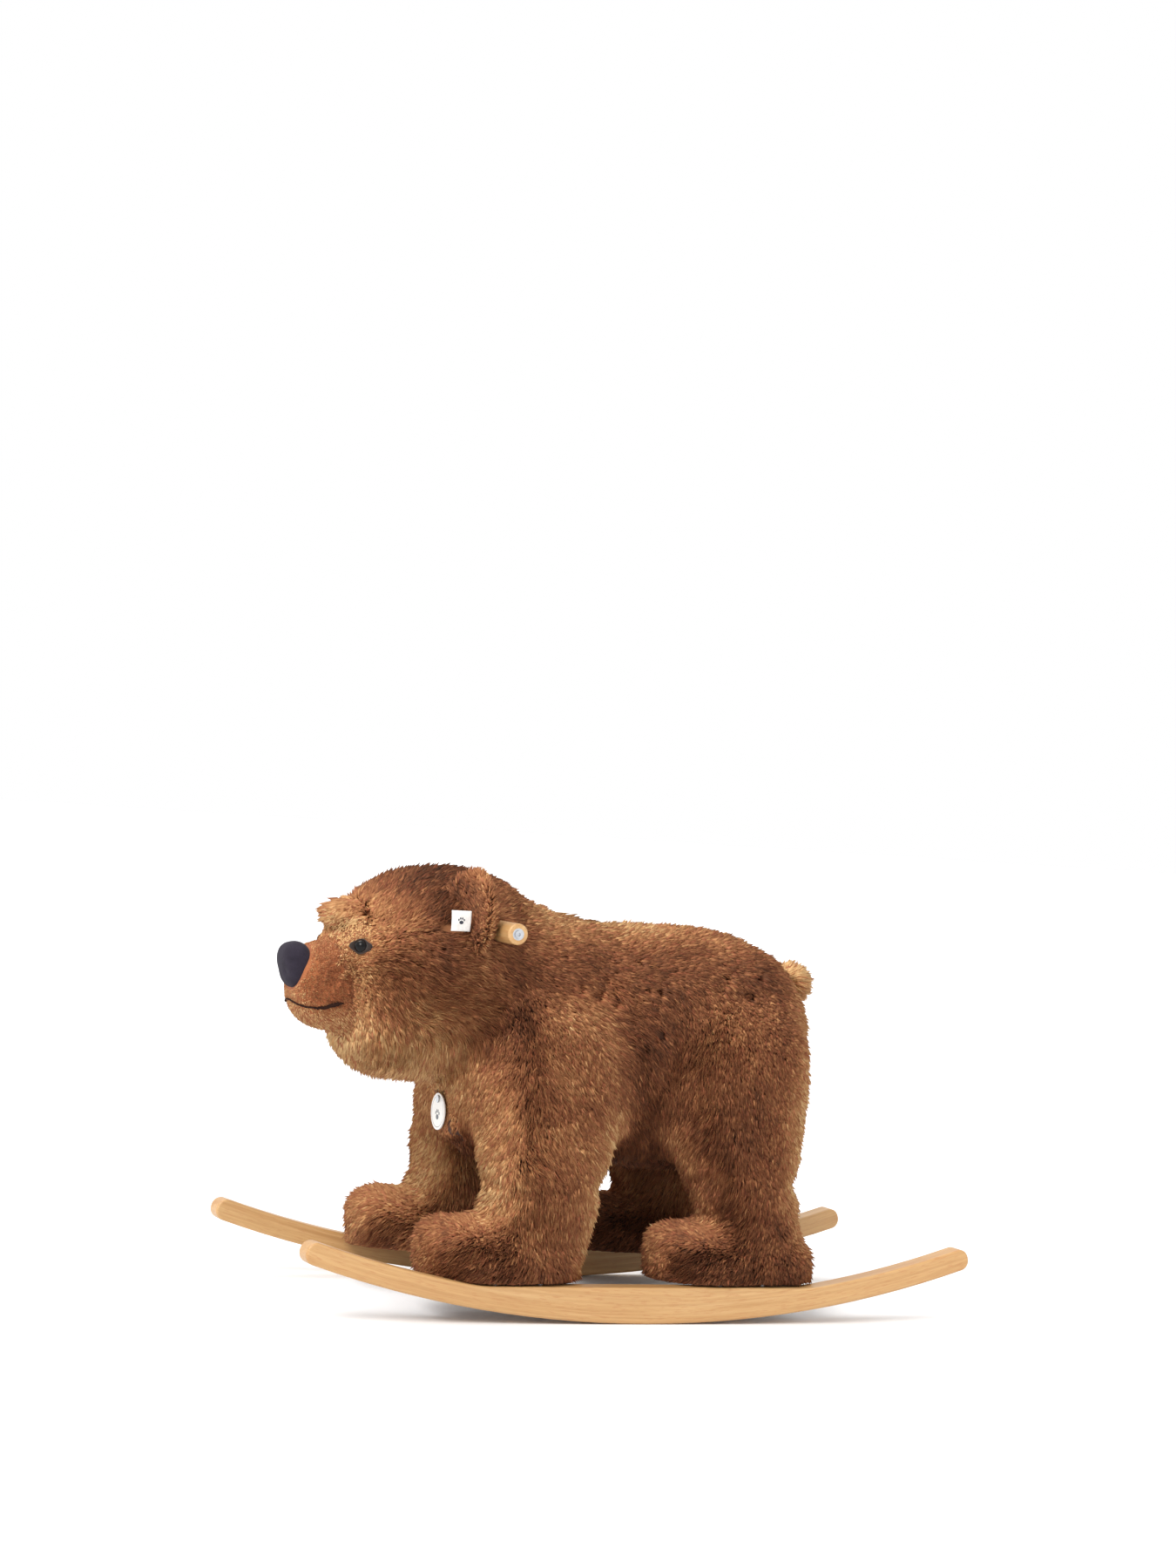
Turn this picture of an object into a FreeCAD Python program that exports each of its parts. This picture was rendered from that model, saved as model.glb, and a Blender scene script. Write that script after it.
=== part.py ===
import FreeCAD, Part
import math
import os

# A ride-on plush bear that stands on two beech rockers, with a steel frame inside it.
# Millimetres, +Z up. The bear faces -X and its left side is -Y.
# Origin: on the floor, under the middle of the two rockers.

V = FreeCAD.Vector
X_AXIS = V(1, 0, 0)
Y_AXIS = V(0, 1, 0)
Z_AXIS = V(0, 0, 1)
SIDES = {"left": -1, "right": 1}

# ---- a block larger than the toy, from which cuts are made ----
FAR_X = 500.0
FAR_Y = 300.0
FAR_Z = 600.0

# ---- rockers ----
ROCKER_LENGTH = 860.0
ROCKER_WIDTH = 28.0
ROCKER_OFFSET = 171.0        # middle plane of a rocker to the middle of the toy
ROCKER_RADIUS = 1360.0       # curve of the underside
ROCKER_TOP = 43.0            # height of the flat on which the paws stand
ROCKER_END_DEPTH = 26.0
ROCKER_END_ROUND = 12.0
ROCKER_BLEND = 160.0         # between the flat and the upswept ends
ROCKER_EDGE = 3.0

# ---- fixings between rockers and frame ----
BOLT_OFFSET = 166.0          # row of bolts to the middle of the toy
BOLT_PITCH = 56.0
BOLT_D = 6.0
BOLT_HOLE_D = 6.6
BOLT_HEAD_D = 10.5
BOLT_HEAD_H = 3.3
HEX_KEY = 4.0
WASHER_D = 12.5
WASHER_T = 1.2
POCKET_D = 13.5
POCKET_DEPTH = 9.0
NUT_D = 11.0
NUT_T = 5.0

# ---- steel frame ----
SOLE_T = 3.0
PLATE_LENGTH = 90.0
PLATE_T = 4.0
PLATE_Y = (98.0, 175.0)
PLATE_CORNER = 8.0
TUBE_D = 22.0
TUBE_WALL = 2.0
BAR_D = 26.0
BAR_HALF = 84.0
FRAME_Z = 322.0
FRAME_Y = 68.0               # top end of a leg tube to the middle of the toy

# ---- handle ----
HANDLE_X = -190.0
HANDLE_Z = 448.0
HANDLE_BAR_D = 16.0
GRIP_D = 25.0
GRIP_START = 107.0           # just clear of the side of the head
GRIP_END = 166.0
GRIP_BORE_GAP = 0.1
GRIP_ROUND = 2.5
GRIP_FLOOR = 2.0             # wood between the end of the bar and the cap washer
CAP_D = 14.0
CAP_T = 1.5
SCREW_D = 6.0
SCREW_HEAD_D = 9.0
SCREW_HEAD_H = 2.0
SCREW_LENGTH = 26.0

# ---- plush ----
COVER_T = 9.0                # backing and laid-down pile
SHORT_PILE_T = 4.0
SECTION_POINTS = 20
FULLNESS = 2.3               # 2 is an ellipse, more is squarer

# ---- legs: height, middle in X, half length, half width, middle in Y ----
FRONT_LEG = [
    (62, -132, 58, 52, 122),
    (100, -126, 63, 53, 121),
    (135, -121, 68, 55, 119),
    (175, -114, 78, 57, 114),
    (250, -108, 88, 59, 101),
    (330, -106, 86, 56, 88),
    (390, -104, 58, 36, 68),
]
REAR_LEG = [
    (62, 170, 53, 52, 122),
    (100, 157, 57, 54, 121),
    (135, 148, 61, 56, 119),
    (175, 138, 75, 58, 114),
    (250, 125, 101, 60, 104),
    (330, 128, 98, 56, 92),
    (385, 132, 62, 36, 72),
]
# ---- paws: place in X, height of the middle, half width, half height ----
PAW_Y = 122.0
FRONT_PAW = [
    (-262, 76, 24, 18),
    (-254, 76, 41, 30),
    (-236, 76, 53, 36),
    (-205, 74, 58, 38),
    (-160, 72, 58, 40),
    (-115, 70, 55, 40),
    (-88, 68, 43, 33),
    (-78, 66, 26, 20),
]
REAR_PAW = [
    (32, 74, 24, 18),
    (40, 74, 41, 30),
    (58, 74, 53, 35),
    (90, 73, 58, 37),
    (135, 72, 58, 40),
    (188, 70, 55, 40),
    (216, 68, 43, 33),
    (227, 66, 26, 20),
]
# ---- body: place in X, height of the middle, half width, half height ----
TORSO = [
    (-205, 260, 50, 56),
    (-196, 270, 80, 85),
    (-168, 296, 106, 121),
    (-132, 327, 120, 156),
    (-100, 319, 124, 149),
    (-55, 311, 128, 143),
    (10, 308, 131, 141),
    (80, 309, 133, 142),
    (130, 308, 132, 139),
    (172, 305, 126, 132),
    (210, 302, 110, 115),
    (238, 299, 84, 86),
    (250, 298, 50, 52),
]
HEAD = [
    (-364, 395, 46, 48),
    (-350, 388, 66, 68),
    (-328, 380, 88, 92),
    (-300, 380, 104, 109),
    (-262, 384, 114, 120),
    (-222, 386, 116, 123),
    (-182, 389, 112, 116),
    (-150, 394, 103, 100),
    (-118, 400, 88, 76),
]
MUZZLE = [
    (-409, 372, 24, 26),
    (-402, 372, 36, 38),
    (-385, 371, 47, 49),
    (-360, 371, 56, 56),
    (-330, 372, 62, 60),
]
# ---- small shapes: middle point, half sizes ----
NOSE = ((-402, 0, 391), (20, 33, 29))
EAR = ((-226, 106, 466), (12.5, 43, 52))
EAR_TURN = -20.0             # the outer edge of an ear lies further back than its root
TAIL = ((242, 0, 396), (32, 25, 24))

# ---- face ----
EYE_D = 16.0
EYE_BULGE = 6.0
EYE_BASE_T = 2.0
EYE_AT = (-346.0, 67.0, 420.0)
EYE_FACING = (-0.64, 0.72, 0.24)
EYE_RIM_T = 1.2
EYE_RIM_D = 22.0
SHANK_D = 4.5
SHANK_LENGTH = 15.0
LOCK_D = 15.0
LOCK_T = 1.5
STITCH_T = 1.2
MOUTH_THREAD = 2.4
MOUTH_Z = 343.0
MOUTH_REACH = 50.0           # how far the mouth runs back from the front of the muzzle

# ---- label and tag ----
LABEL_SIZE = (25.0, 0.8, 24.0)
LABEL_AT = (-244.5, 122.0, 458.0)
TAG_D = 44.0
TAG_T = 1.6
TAG_AT = (-210.0, 0.0, 238.0)     # the pin's place on the chest
TAG_PIN_INSET = 7.0               # pin to the tag's rim
TAG_HOLE_D = 4.16
PIN_D = 4.0
PIN_HEAD_D = 9.0
PIN_HEAD_T = 1.4
PIN_LENGTH = 22.0
TAG_GAP = 0.4
TAG_CLEARANCE = 4.0               # free chest all round the swinging tag
TAG_FRONT = 30.0                  # and in front of it


def cylinder(diameter, start, end):
    direction = end.sub(start)
    return Part.makeCylinder(diameter / 2, direction.Length, start, direction)


def box(low, high):
    size = V(*high).sub(V(*low))
    return Part.makeBox(size.x, size.y, size.z, V(*low))


def slab(low, high, from_y=-FAR_Y):
    """Everything between two heights, across the whole toy or from one plane outwards."""
    return box((-FAR_X, from_y, low), (FAR_X, FAR_Y, high))


def tube(outer_d, wall, start, end):
    return cylinder(outer_d, start, end).cut(cylinder(outer_d - 2 * wall, start, end))


def mirrored(shape, side):
    """The left side of the toy is the mirror image of the right side."""
    return shape.mirror(V(0, 0, 0), Y_AXIS) if side < 0 else shape


def symmetric(shape):
    """The right half and its mirror image, so that both sides meet their limbs alike."""
    half = shape.common(slab(0, FAR_Z, 0))
    return half.fuse(mirrored(half, SIDES["left"]))


def both_sides(solids):
    """Small equal parts that share one node: the right side's solids and their mirror images."""
    return Part.makeCompound([mirrored(solid, side) for side in SIDES.values() for solid in solids])


def rounded_ring(centre, along, half_a, half_b):
    """A closed curve between an ellipse and a rectangle, across the axis `along`."""
    across = Z_AXIS if along == X_AXIS else X_AXIS
    sideways = Y_AXIS
    points = []
    for step in range(SECTION_POINTS):
        turn = 2 * math.pi * step / SECTION_POINTS
        c = math.cos(turn)
        s = math.sin(turn)
        a = math.copysign(abs(c) ** (2 / FULLNESS), c) * half_a
        b = math.copysign(abs(s) ** (2 / FULLNESS), s) * half_b
        points.append(centre + sideways * a + across * b)
    curve = Part.BSplineCurve()
    curve.interpolate(Points=points, PeriodicFlag=True)
    return Part.Wire([curve.toShape()])


def body_loft(sections, inset=0.0, y=0.0):
    """A closed form through rings across X; inset makes the filling's form inside a cover."""
    rings = []
    last = len(sections) - 1
    for index, (x, z, half_width, half_height) in enumerate(sections):
        shift = inset * ((index == 0) - (index == last))
        rings.append(rounded_ring(V(x + shift, y, z), X_AXIS, half_width - inset, half_height - inset))
    return Part.makeLoft(rings, True)


def leg_loft(sections, inset=0.0):
    """A closed form through rings across Z, leaning inwards as it goes up."""
    rings = []
    for z, x, half_length, half_width, y in sections:
        rings.append(rounded_ring(V(x, y, z), Z_AXIS, half_width - inset, half_length - inset))
    return Part.makeLoft(rings, True)


def ellipsoid(middle, halves, tilt=0.0, turn=0.0):
    """An egg shape, leaning about Y by `tilt` degrees, then turned about Z by `turn` degrees."""
    ball = Part.makeSphere(1.0)
    matrix = FreeCAD.Matrix()
    matrix.scale(*halves)
    matrix.rotateY(math.radians(tilt))
    matrix.rotateZ(math.radians(turn))
    matrix.move(V(*middle))
    return ball.transformGeometry(matrix)


def rocker_underside(x):
    return ROCKER_RADIUS - math.sqrt(ROCKER_RADIUS ** 2 - x ** 2)


def bolt_places(plate_x):
    return [plate_x - BOLT_PITCH / 2, plate_x + BOLT_PITCH / 2]


def make_rocker(plate_xs):
    """One curved beech runner on the right side: flat on top between the upswept ends."""
    centre = V(0, 0, ROCKER_RADIUS)
    half_turn = math.asin(ROCKER_LENGTH / 2 / ROCKER_RADIUS)
    top_radius = ROCKER_RADIUS - ROCKER_END_DEPTH
    flat_half = math.sqrt(top_radius ** 2 - (ROCKER_RADIUS - ROCKER_TOP) ** 2)
    flat_turn = math.asin(flat_half / top_radius)

    def on_circle(radius, turn):
        return centre + V(radius * math.sin(turn), 0, -radius * math.cos(turn))

    def arc(radius, first, last):
        middle = (first + last) / 2
        return Part.Arc(on_circle(radius, first), on_circle(radius, middle), on_circle(radius, last)).toShape()

    def line(first, last):
        return Part.LineSegment(first, last).toShape()

    outline = Part.Wire([
        arc(ROCKER_RADIUS, -half_turn, half_turn),
        line(on_circle(ROCKER_RADIUS, half_turn), on_circle(top_radius, half_turn)),
        arc(top_radius, half_turn, flat_turn),
        line(on_circle(top_radius, flat_turn), on_circle(top_radius, -flat_turn)),
        arc(top_radius, -flat_turn, -half_turn),
        line(on_circle(top_radius, -half_turn), on_circle(ROCKER_RADIUS, -half_turn)),
    ])
    blank = Part.Face(outline).extrude(Y_AXIS * ROCKER_WIDTH)
    across = [edge for edge in blank.Edges if abs(edge.BoundBox.YLength - ROCKER_WIDTH) < 0.01]
    ends = [edge for edge in across if abs(edge.CenterOfMass.x) > ROCKER_LENGTH / 2 - ROCKER_END_DEPTH]
    blank = blank.makeFillet(ROCKER_END_ROUND, ends)
    bends = [edge for edge in blank.Edges
             if abs(edge.BoundBox.YLength - ROCKER_WIDTH) < 0.01
             and abs(abs(edge.CenterOfMass.x) - flat_half) < 1.0]
    blank = blank.makeFillet(ROCKER_BLEND, bends)
    rims = [edge for edge in blank.Edges if edge.BoundBox.YLength < 0.01]
    blank = blank.makeFillet(ROCKER_EDGE, rims)
    blank.translate(V(0, ROCKER_OFFSET - ROCKER_WIDTH / 2, 0))
    for plate_x in plate_xs:
        for x in bolt_places(plate_x):
            seat = rocker_underside(x) + POCKET_DEPTH
            blank = blank.cut(cylinder(POCKET_D, V(x, BOLT_OFFSET, -1), V(x, BOLT_OFFSET, seat)))
            blank = blank.cut(cylinder(BOLT_HOLE_D, V(x, BOLT_OFFSET, 0), V(x, BOLT_OFFSET, ROCKER_TOP + 1)))
    return blank


def make_bolt(x):
    """A button-head bolt that comes up through the rocker, the sole and the foot plate."""
    seat = rocker_underside(x) + POCKET_DEPTH - WASHER_T
    end = ROCKER_TOP + SOLE_T + PLATE_T + NUT_T + 2
    shank = cylinder(BOLT_D, V(x, BOLT_OFFSET, seat), V(x, BOLT_OFFSET, end))
    head = cylinder(BOLT_HEAD_D, V(x, BOLT_OFFSET, seat - BOLT_HEAD_H), V(x, BOLT_OFFSET, seat))
    socket = cylinder(HEX_KEY, V(x, BOLT_OFFSET, seat - BOLT_HEAD_H), V(x, BOLT_OFFSET, seat - 1))
    return head.fuse(shank).removeSplitter().cut(socket)


def make_washer(x):
    top = rocker_underside(x) + POCKET_DEPTH
    base = V(x, BOLT_OFFSET, top - WASHER_T)
    return cylinder(WASHER_D, base, V(x, BOLT_OFFSET, top)).cut(
        cylinder(BOLT_D, base, V(x, BOLT_OFFSET, top)))


def make_nut(x):
    base = ROCKER_TOP + SOLE_T + PLATE_T
    body = cylinder(NUT_D, V(x, BOLT_OFFSET, base), V(x, BOLT_OFFSET, base + NUT_T))
    return body.cut(cylinder(BOLT_D, V(x, BOLT_OFFSET, base), V(x, BOLT_OFFSET, base + NUT_T)))


def make_plate(plate_x):
    """A foot plate with rounded corners and two bolt holes."""
    low = (plate_x - PLATE_LENGTH / 2, PLATE_Y[0], ROCKER_TOP + SOLE_T)
    high = (plate_x + PLATE_LENGTH / 2, PLATE_Y[1], ROCKER_TOP + SOLE_T + PLATE_T)
    plate = box(low, high)
    plate = plate.makeFillet(PLATE_CORNER, [edge for edge in plate.Edges if edge.BoundBox.ZLength > PLATE_T - 0.1])
    for x in bolt_places(plate_x):
        plate = plate.cut(cylinder(BOLT_D, V(x, BOLT_OFFSET, 0), V(x, BOLT_OFFSET, FAR_Z)))
    return plate


def make_frame(layout):
    """Welded frame: two cross bars, a spine, a neck tube, a handle bar and four leg tubes.

    Returns the pieces by name, and one plain envelope solid that stands for each piece
    where it passes through the filling."""
    pieces = {}
    envelopes = []
    front_x = layout["front"]["bar_x"]
    rear_x = layout["rear"]["bar_x"]
    bars = {}
    for place in ("front", "rear"):
        bar_x = layout[place]["bar_x"]
        ends = (V(bar_x, -BAR_HALF, FRAME_Z), V(bar_x, BAR_HALF, FRAME_Z))
        pieces[place + "_cross_bar"] = tube(BAR_D, TUBE_WALL, *ends)
        bars[place] = cylinder(BAR_D, *ends)
    both_bars = bars["front"].fuse(bars["rear"])

    spine_ends = (V(front_x, 0, FRAME_Z), V(rear_x, 0, FRAME_Z))
    pieces["spine_tube"] = tube(TUBE_D, TUBE_WALL, *spine_ends).cut(both_bars)

    handle_half = V(0, GRIP_END - CAP_T - GRIP_FLOOR, 0)
    handle = V(HANDLE_X, 0, HANDLE_Z)
    handle_solid = cylinder(HANDLE_BAR_D, handle - handle_half, handle + handle_half)
    thread_start = V(HANDLE_X, GRIP_END - SCREW_LENGTH, HANDLE_Z)
    thread = cylinder(SCREW_D, thread_start, V(HANDLE_X, GRIP_END, HANDLE_Z))
    pieces["handle_bar"] = handle_solid.cut(thread).cut(mirrored(thread, SIDES["left"]))

    neck_ends = (V(front_x, 0, FRAME_Z), V(HANDLE_X, 0, HANDLE_Z))
    neck = tube(TUBE_D, TUBE_WALL, *neck_ends)
    spine_solid = cylinder(TUBE_D, *spine_ends)
    pieces["neck_tube"] = neck.cut(bars["front"]).cut(handle_solid).cut(spine_solid)
    envelopes += [bars["front"], bars["rear"], spine_solid, handle_solid, cylinder(TUBE_D, *neck_ends)]

    for place, spot in layout.items():
        foot = V(spot["tube_x"], PAW_Y, ROCKER_TOP + SOLE_T + PLATE_T)
        top = V(spot["bar_x"], FRAME_Y, FRAME_Z)
        floor_cut = slab(0, foot.z)
        lean = top.sub(foot)
        below = foot - lean * 0.1
        leg = tube(TUBE_D, TUBE_WALL, below, top).cut(floor_cut).cut(bars[place])
        solid = cylinder(TUBE_D, below, top).cut(floor_cut)
        for name, side in SIDES.items():
            pieces["%s_%s_leg_tube" % (place, name)] = mirrored(leg, side)
            pieces["%s_%s_foot_plate" % (place, name)] = mirrored(make_plate(spot["plate_x"]), side)
            envelopes.append(mirrored(solid, side))
            envelopes.append(mirrored(make_plate(spot["plate_x"]), side))
            for x in bolt_places(spot["plate_x"]):
                nut_top = foot.z + NUT_T + 2 * PLATE_T
                bolt_line = cylinder(NUT_D, V(x, BOLT_OFFSET, ROCKER_TOP), V(x, BOLT_OFFSET, nut_top))
                envelopes.append(mirrored(bolt_line, side))
    return pieces, envelopes


def make_grip():
    """A turned beech grip on the right end of the handle tube, with rounded rims."""
    grip = cylinder(GRIP_D, V(HANDLE_X, GRIP_START, HANDLE_Z), V(HANDLE_X, GRIP_END, HANDLE_Z))
    grip = grip.makeFillet(GRIP_ROUND, [edge for edge in grip.Edges if edge.Curve.TypeId == "Part::GeomCircle"])
    bore_end = GRIP_END - CAP_T - GRIP_FLOOR
    bore = cylinder(HANDLE_BAR_D + 2 * GRIP_BORE_GAP, V(HANDLE_X, 0, HANDLE_Z), V(HANDLE_X, bore_end, HANDLE_Z))
    recess = cylinder(CAP_D, V(HANDLE_X, GRIP_END - CAP_T, HANDLE_Z), V(HANDLE_X, GRIP_END, HANDLE_Z))
    screw_hole = cylinder(SCREW_D + 0.4, V(HANDLE_X, 0, HANDLE_Z), V(HANDLE_X, GRIP_END, HANDLE_Z))
    return grip.cut(bore).cut(recess).cut(screw_hole)


def make_cap_washer():
    face = GRIP_END - CAP_T
    return cylinder(CAP_D, V(HANDLE_X, face, HANDLE_Z), V(HANDLE_X, GRIP_END, HANDLE_Z)).cut(
        cylinder(SCREW_D, V(HANDLE_X, face, HANDLE_Z), V(HANDLE_X, GRIP_END, HANDLE_Z)))


def make_cap_screw():
    head = cylinder(SCREW_HEAD_D, V(HANDLE_X, GRIP_END, HANDLE_Z), V(HANDLE_X, GRIP_END + SCREW_HEAD_H, HANDLE_Z))
    shank = cylinder(SCREW_D, V(HANDLE_X, GRIP_END - SCREW_LENGTH, HANDLE_Z), V(HANDLE_X, GRIP_END, HANDLE_Z))
    socket = cylinder(HEX_KEY, V(HANDLE_X, GRIP_END, HANDLE_Z), V(HANDLE_X, GRIP_END + SCREW_HEAD_H, HANDLE_Z))
    return head.fuse(shank).removeSplitter().cut(socket)


def make_eye():
    """The right eye: a domed button, its shank, its lock washer and the stitched rim round it."""
    middle = V(*EYE_AT)
    out = V(*EYE_FACING).normalize()
    dome_radius = (EYE_D ** 2 / 4 + EYE_BULGE ** 2) / (2 * EYE_BULGE)
    ball = Part.makeSphere(dome_radius, middle - out * (dome_radius - EYE_BULGE))
    dome = ball.common(cylinder(2 * EYE_D, middle, middle + out * 2 * EYE_BULGE))
    back = middle - out * EYE_BASE_T
    base = cylinder(EYE_D, back, middle)
    shank = cylinder(SHANK_D, middle - out * SHANK_LENGTH, back)
    eye = dome.fuse(base).fuse(shank).removeSplitter()
    lock_face = middle - out * (SHANK_LENGTH - EYE_BASE_T)
    lock = cylinder(LOCK_D, lock_face - out * LOCK_T, lock_face).cut(
        cylinder(SHANK_D, lock_face - out * LOCK_T, lock_face))
    rim_low = middle - out * EYE_RIM_T
    rim = cylinder(EYE_RIM_D, rim_low, middle).cut(cylinder(EYE_D, rim_low, middle))
    envelope = [
        cylinder(EYE_RIM_D, rim_low, middle + out * EYE_RIM_D),
        cylinder(EYE_D, back, middle),
        cylinder(SHANK_D, middle - out * SHANK_LENGTH, middle),
        cylinder(LOCK_D, lock_face - out * LOCK_T, lock_face),
    ]
    return eye, lock, rim, envelope


def make_mouth(muzzle_sections):
    """One line of thread that lies on the muzzle, from cheek to cheek round the front."""
    grown = body_loft(muzzle_sections, -STITCH_T)
    skin = grown.cut(body_loft(muzzle_sections))
    behind = box((muzzle_sections[0][0] + MOUTH_REACH, -FAR_Y, 0), (FAR_X, FAR_Y, FAR_Z))
    return skin.common(slab(MOUTH_Z, MOUTH_Z + MOUTH_THREAD)).cut(behind)


def make_tag():
    """A round tag that hangs flat against the chest from a pin."""
    pin = V(*TAG_AT)
    back = pin + X_AXIS * TAG_T
    centre = V(pin.x, pin.y, pin.z - TAG_D / 2 + TAG_PIN_INSET)
    disc = cylinder(TAG_D, centre, centre + X_AXIS * TAG_T)
    tag = disc.cut(cylinder(TAG_HOLE_D, pin, back))
    head_back = pin - X_AXIS * TAG_GAP
    head = cylinder(PIN_HEAD_D, head_back - X_AXIS * PIN_HEAD_T, head_back)
    shank = cylinder(PIN_D, head_back, head_back + X_AXIS * PIN_LENGTH)
    shank_envelope = cylinder(PIN_D, head_back, head_back + X_AXIS * PIN_LENGTH)
    reach = TAG_D - TAG_PIN_INSET + TAG_CLEARANCE
    below_head = slab(0, pin.z + TAG_PIN_INSET + TAG_CLEARANCE / 2)
    swept = cylinder(2 * reach, pin - X_AXIS * TAG_FRONT, back + X_AXIS * TAG_GAP).common(below_head)
    return tag, head.fuse(shank).removeSplitter(), shank_envelope, swept


def cut_all(shape, tools):
    for tool in tools:
        if shape.BoundBox.intersect(tool.BoundBox):
            shape = shape.cut(tool)
    return shape


def largest_solid(shape):
    """Drops the slivers that a cut leaves behind."""
    return max(shape.Solids, key=lambda solid: solid.Volume)


def cover_and_filling(outer, inner, earlier, hardware):
    """A sewn cover and the wadding inside it, cut to meet the parts that were made earlier."""
    cover = cut_all(outer.cut(inner), earlier + hardware)
    filling = cut_all(inner, earlier + hardware)
    return largest_solid(cover), largest_solid(filling)


def make_limb(paw_sections, leg_sections, earlier, hardware):
    """The right leg of one pair: its upper cover, its paw, its sole and the wadding inside."""
    below_floor = slab(0, ROCKER_TOP)
    below_sole = slab(0, ROCKER_TOP + SOLE_T)
    paw = body_loft(paw_sections, y=PAW_Y).cut(below_floor)
    leg = leg_loft(leg_sections).cut(paw)
    inside = body_loft(paw_sections, COVER_T, PAW_Y).fuse(leg_loft(leg_sections, COVER_T)).cut(below_sole)
    limb = {
        "sole": paw.common(below_sole),
        "paw_cover": paw.cut(below_sole).cut(inside),
        "leg_cover": leg.cut(inside),
        "leg_filling": inside,
    }
    return {name: largest_solid(cut_all(shape, earlier + hardware)) for name, shape in limb.items()}


def build():
    layout = {
        "front": {"plate_x": -160.0, "tube_x": -130.0, "bar_x": -112.0},
        "rear": {"plate_x": 128.0, "tube_x": 160.0, "bar_x": 132.0},
    }
    nodes = {}
    plate_xs = [spot["plate_x"] for spot in layout.values()]
    bolt_xs = [x for plate_x in plate_xs for x in bolt_places(plate_x)]
    rocker = make_rocker(plate_xs)
    for name, side in SIDES.items():
        nodes["%s_rocker" % name] = mirrored(rocker, side)
    nodes["rocker_bolts"] = both_sides([make_bolt(x) for x in bolt_xs])
    nodes["rocker_washers"] = both_sides([make_washer(x) for x in bolt_xs])
    nodes["weld_nuts"] = both_sides([make_nut(x) for x in bolt_xs])

    frame, hardware = make_frame(layout)
    nodes.update(frame)
    grips = []
    for name, side in SIDES.items():
        nodes["%s_grip" % name] = mirrored(make_grip(), side)
        passage = cylinder(GRIP_D, V(HANDLE_X, GRIP_START, HANDLE_Z), V(HANDLE_X, FAR_Y, HANDLE_Z))
        grips.append(mirrored(passage, side))
    hardware += grips
    nodes["grip_washers"] = both_sides([make_cap_washer()])
    nodes["grip_screws"] = both_sides([make_cap_screw()])

    tag, pin, pin_envelope, tag_sweep = make_tag()
    nodes["chest_tag"] = tag
    nodes["tag_pin"] = pin
    torso = symmetric(body_loft(TORSO))
    torso_hardware = hardware + [pin_envelope, tag_sweep]
    cover, filling = cover_and_filling(torso, body_loft(TORSO, COVER_T), [], torso_hardware)
    nodes["torso_cover"] = cover
    nodes["torso_filling"] = filling

    eye, lock, rim, envelope = make_eye()
    nodes["eye_lock_washers"] = both_sides([lock])
    nodes["eye_rims"] = both_sides([rim])
    eyes = []
    for name, side in SIDES.items():
        nodes["%s_eye" % name] = mirrored(eye, side)
        eyes += [mirrored(solid, side) for solid in envelope]
    head = symmetric(body_loft(HEAD))
    cover, filling = cover_and_filling(head, body_loft(HEAD, COVER_T), [torso], hardware + eyes + [tag_sweep])
    nodes["head_cover"] = cover
    nodes["head_filling"] = filling

    muzzle = body_loft(MUZZLE)
    cover, filling = cover_and_filling(muzzle, body_loft(MUZZLE, SHORT_PILE_T), [head], eyes)
    nodes["muzzle_cover"] = cover
    nodes["muzzle_filling"] = filling
    nodes["mouth_stitch"] = make_mouth(MUZZLE).cut(head)
    nodes["nose"] = ellipsoid(*NOSE, tilt=-12).cut(muzzle).cut(head)

    tail = ellipsoid(*TAIL, tilt=20)
    nodes["tail"] = tail.cut(torso)
    ear = ellipsoid(*EAR, turn=EAR_TURN).cut(head).cut(torso)
    label_low = V(*LABEL_AT) - V(*LABEL_SIZE) * 0.5
    label = Part.makeBox(*LABEL_SIZE, label_low).cut(head).cut(ear)
    nodes["ear_label"] = mirrored(label, SIDES["left"])
    for name, side in SIDES.items():
        nodes["%s_ear" % name] = cut_all(mirrored(ear, side), hardware)

    for place, paw_sections, leg_sections in (("front", FRONT_PAW, FRONT_LEG), ("rear", REAR_PAW, REAR_LEG)):
        limb = make_limb(paw_sections, leg_sections, [torso, head], hardware + [tag_sweep])
        for part_name, shape in limb.items():
            for name, side in SIDES.items():
                nodes["%s_%s_%s" % (place, name, part_name)] = mirrored(shape, side)
    return nodes


os.makedirs("parts", exist_ok=True)
for node, shape in build().items():
    shape.exportStep("parts/%s.step" % node)
    print("%-24s solids %d  volume %9.0f mm3" % (node, len(shape.Solids), shape.Volume))
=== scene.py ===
import math

import bpy
import numpy as np
from mathutils import Matrix, Vector
from mathutils.bvhtree import BVHTree
from mathutils.kdtree import KDTree


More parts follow.
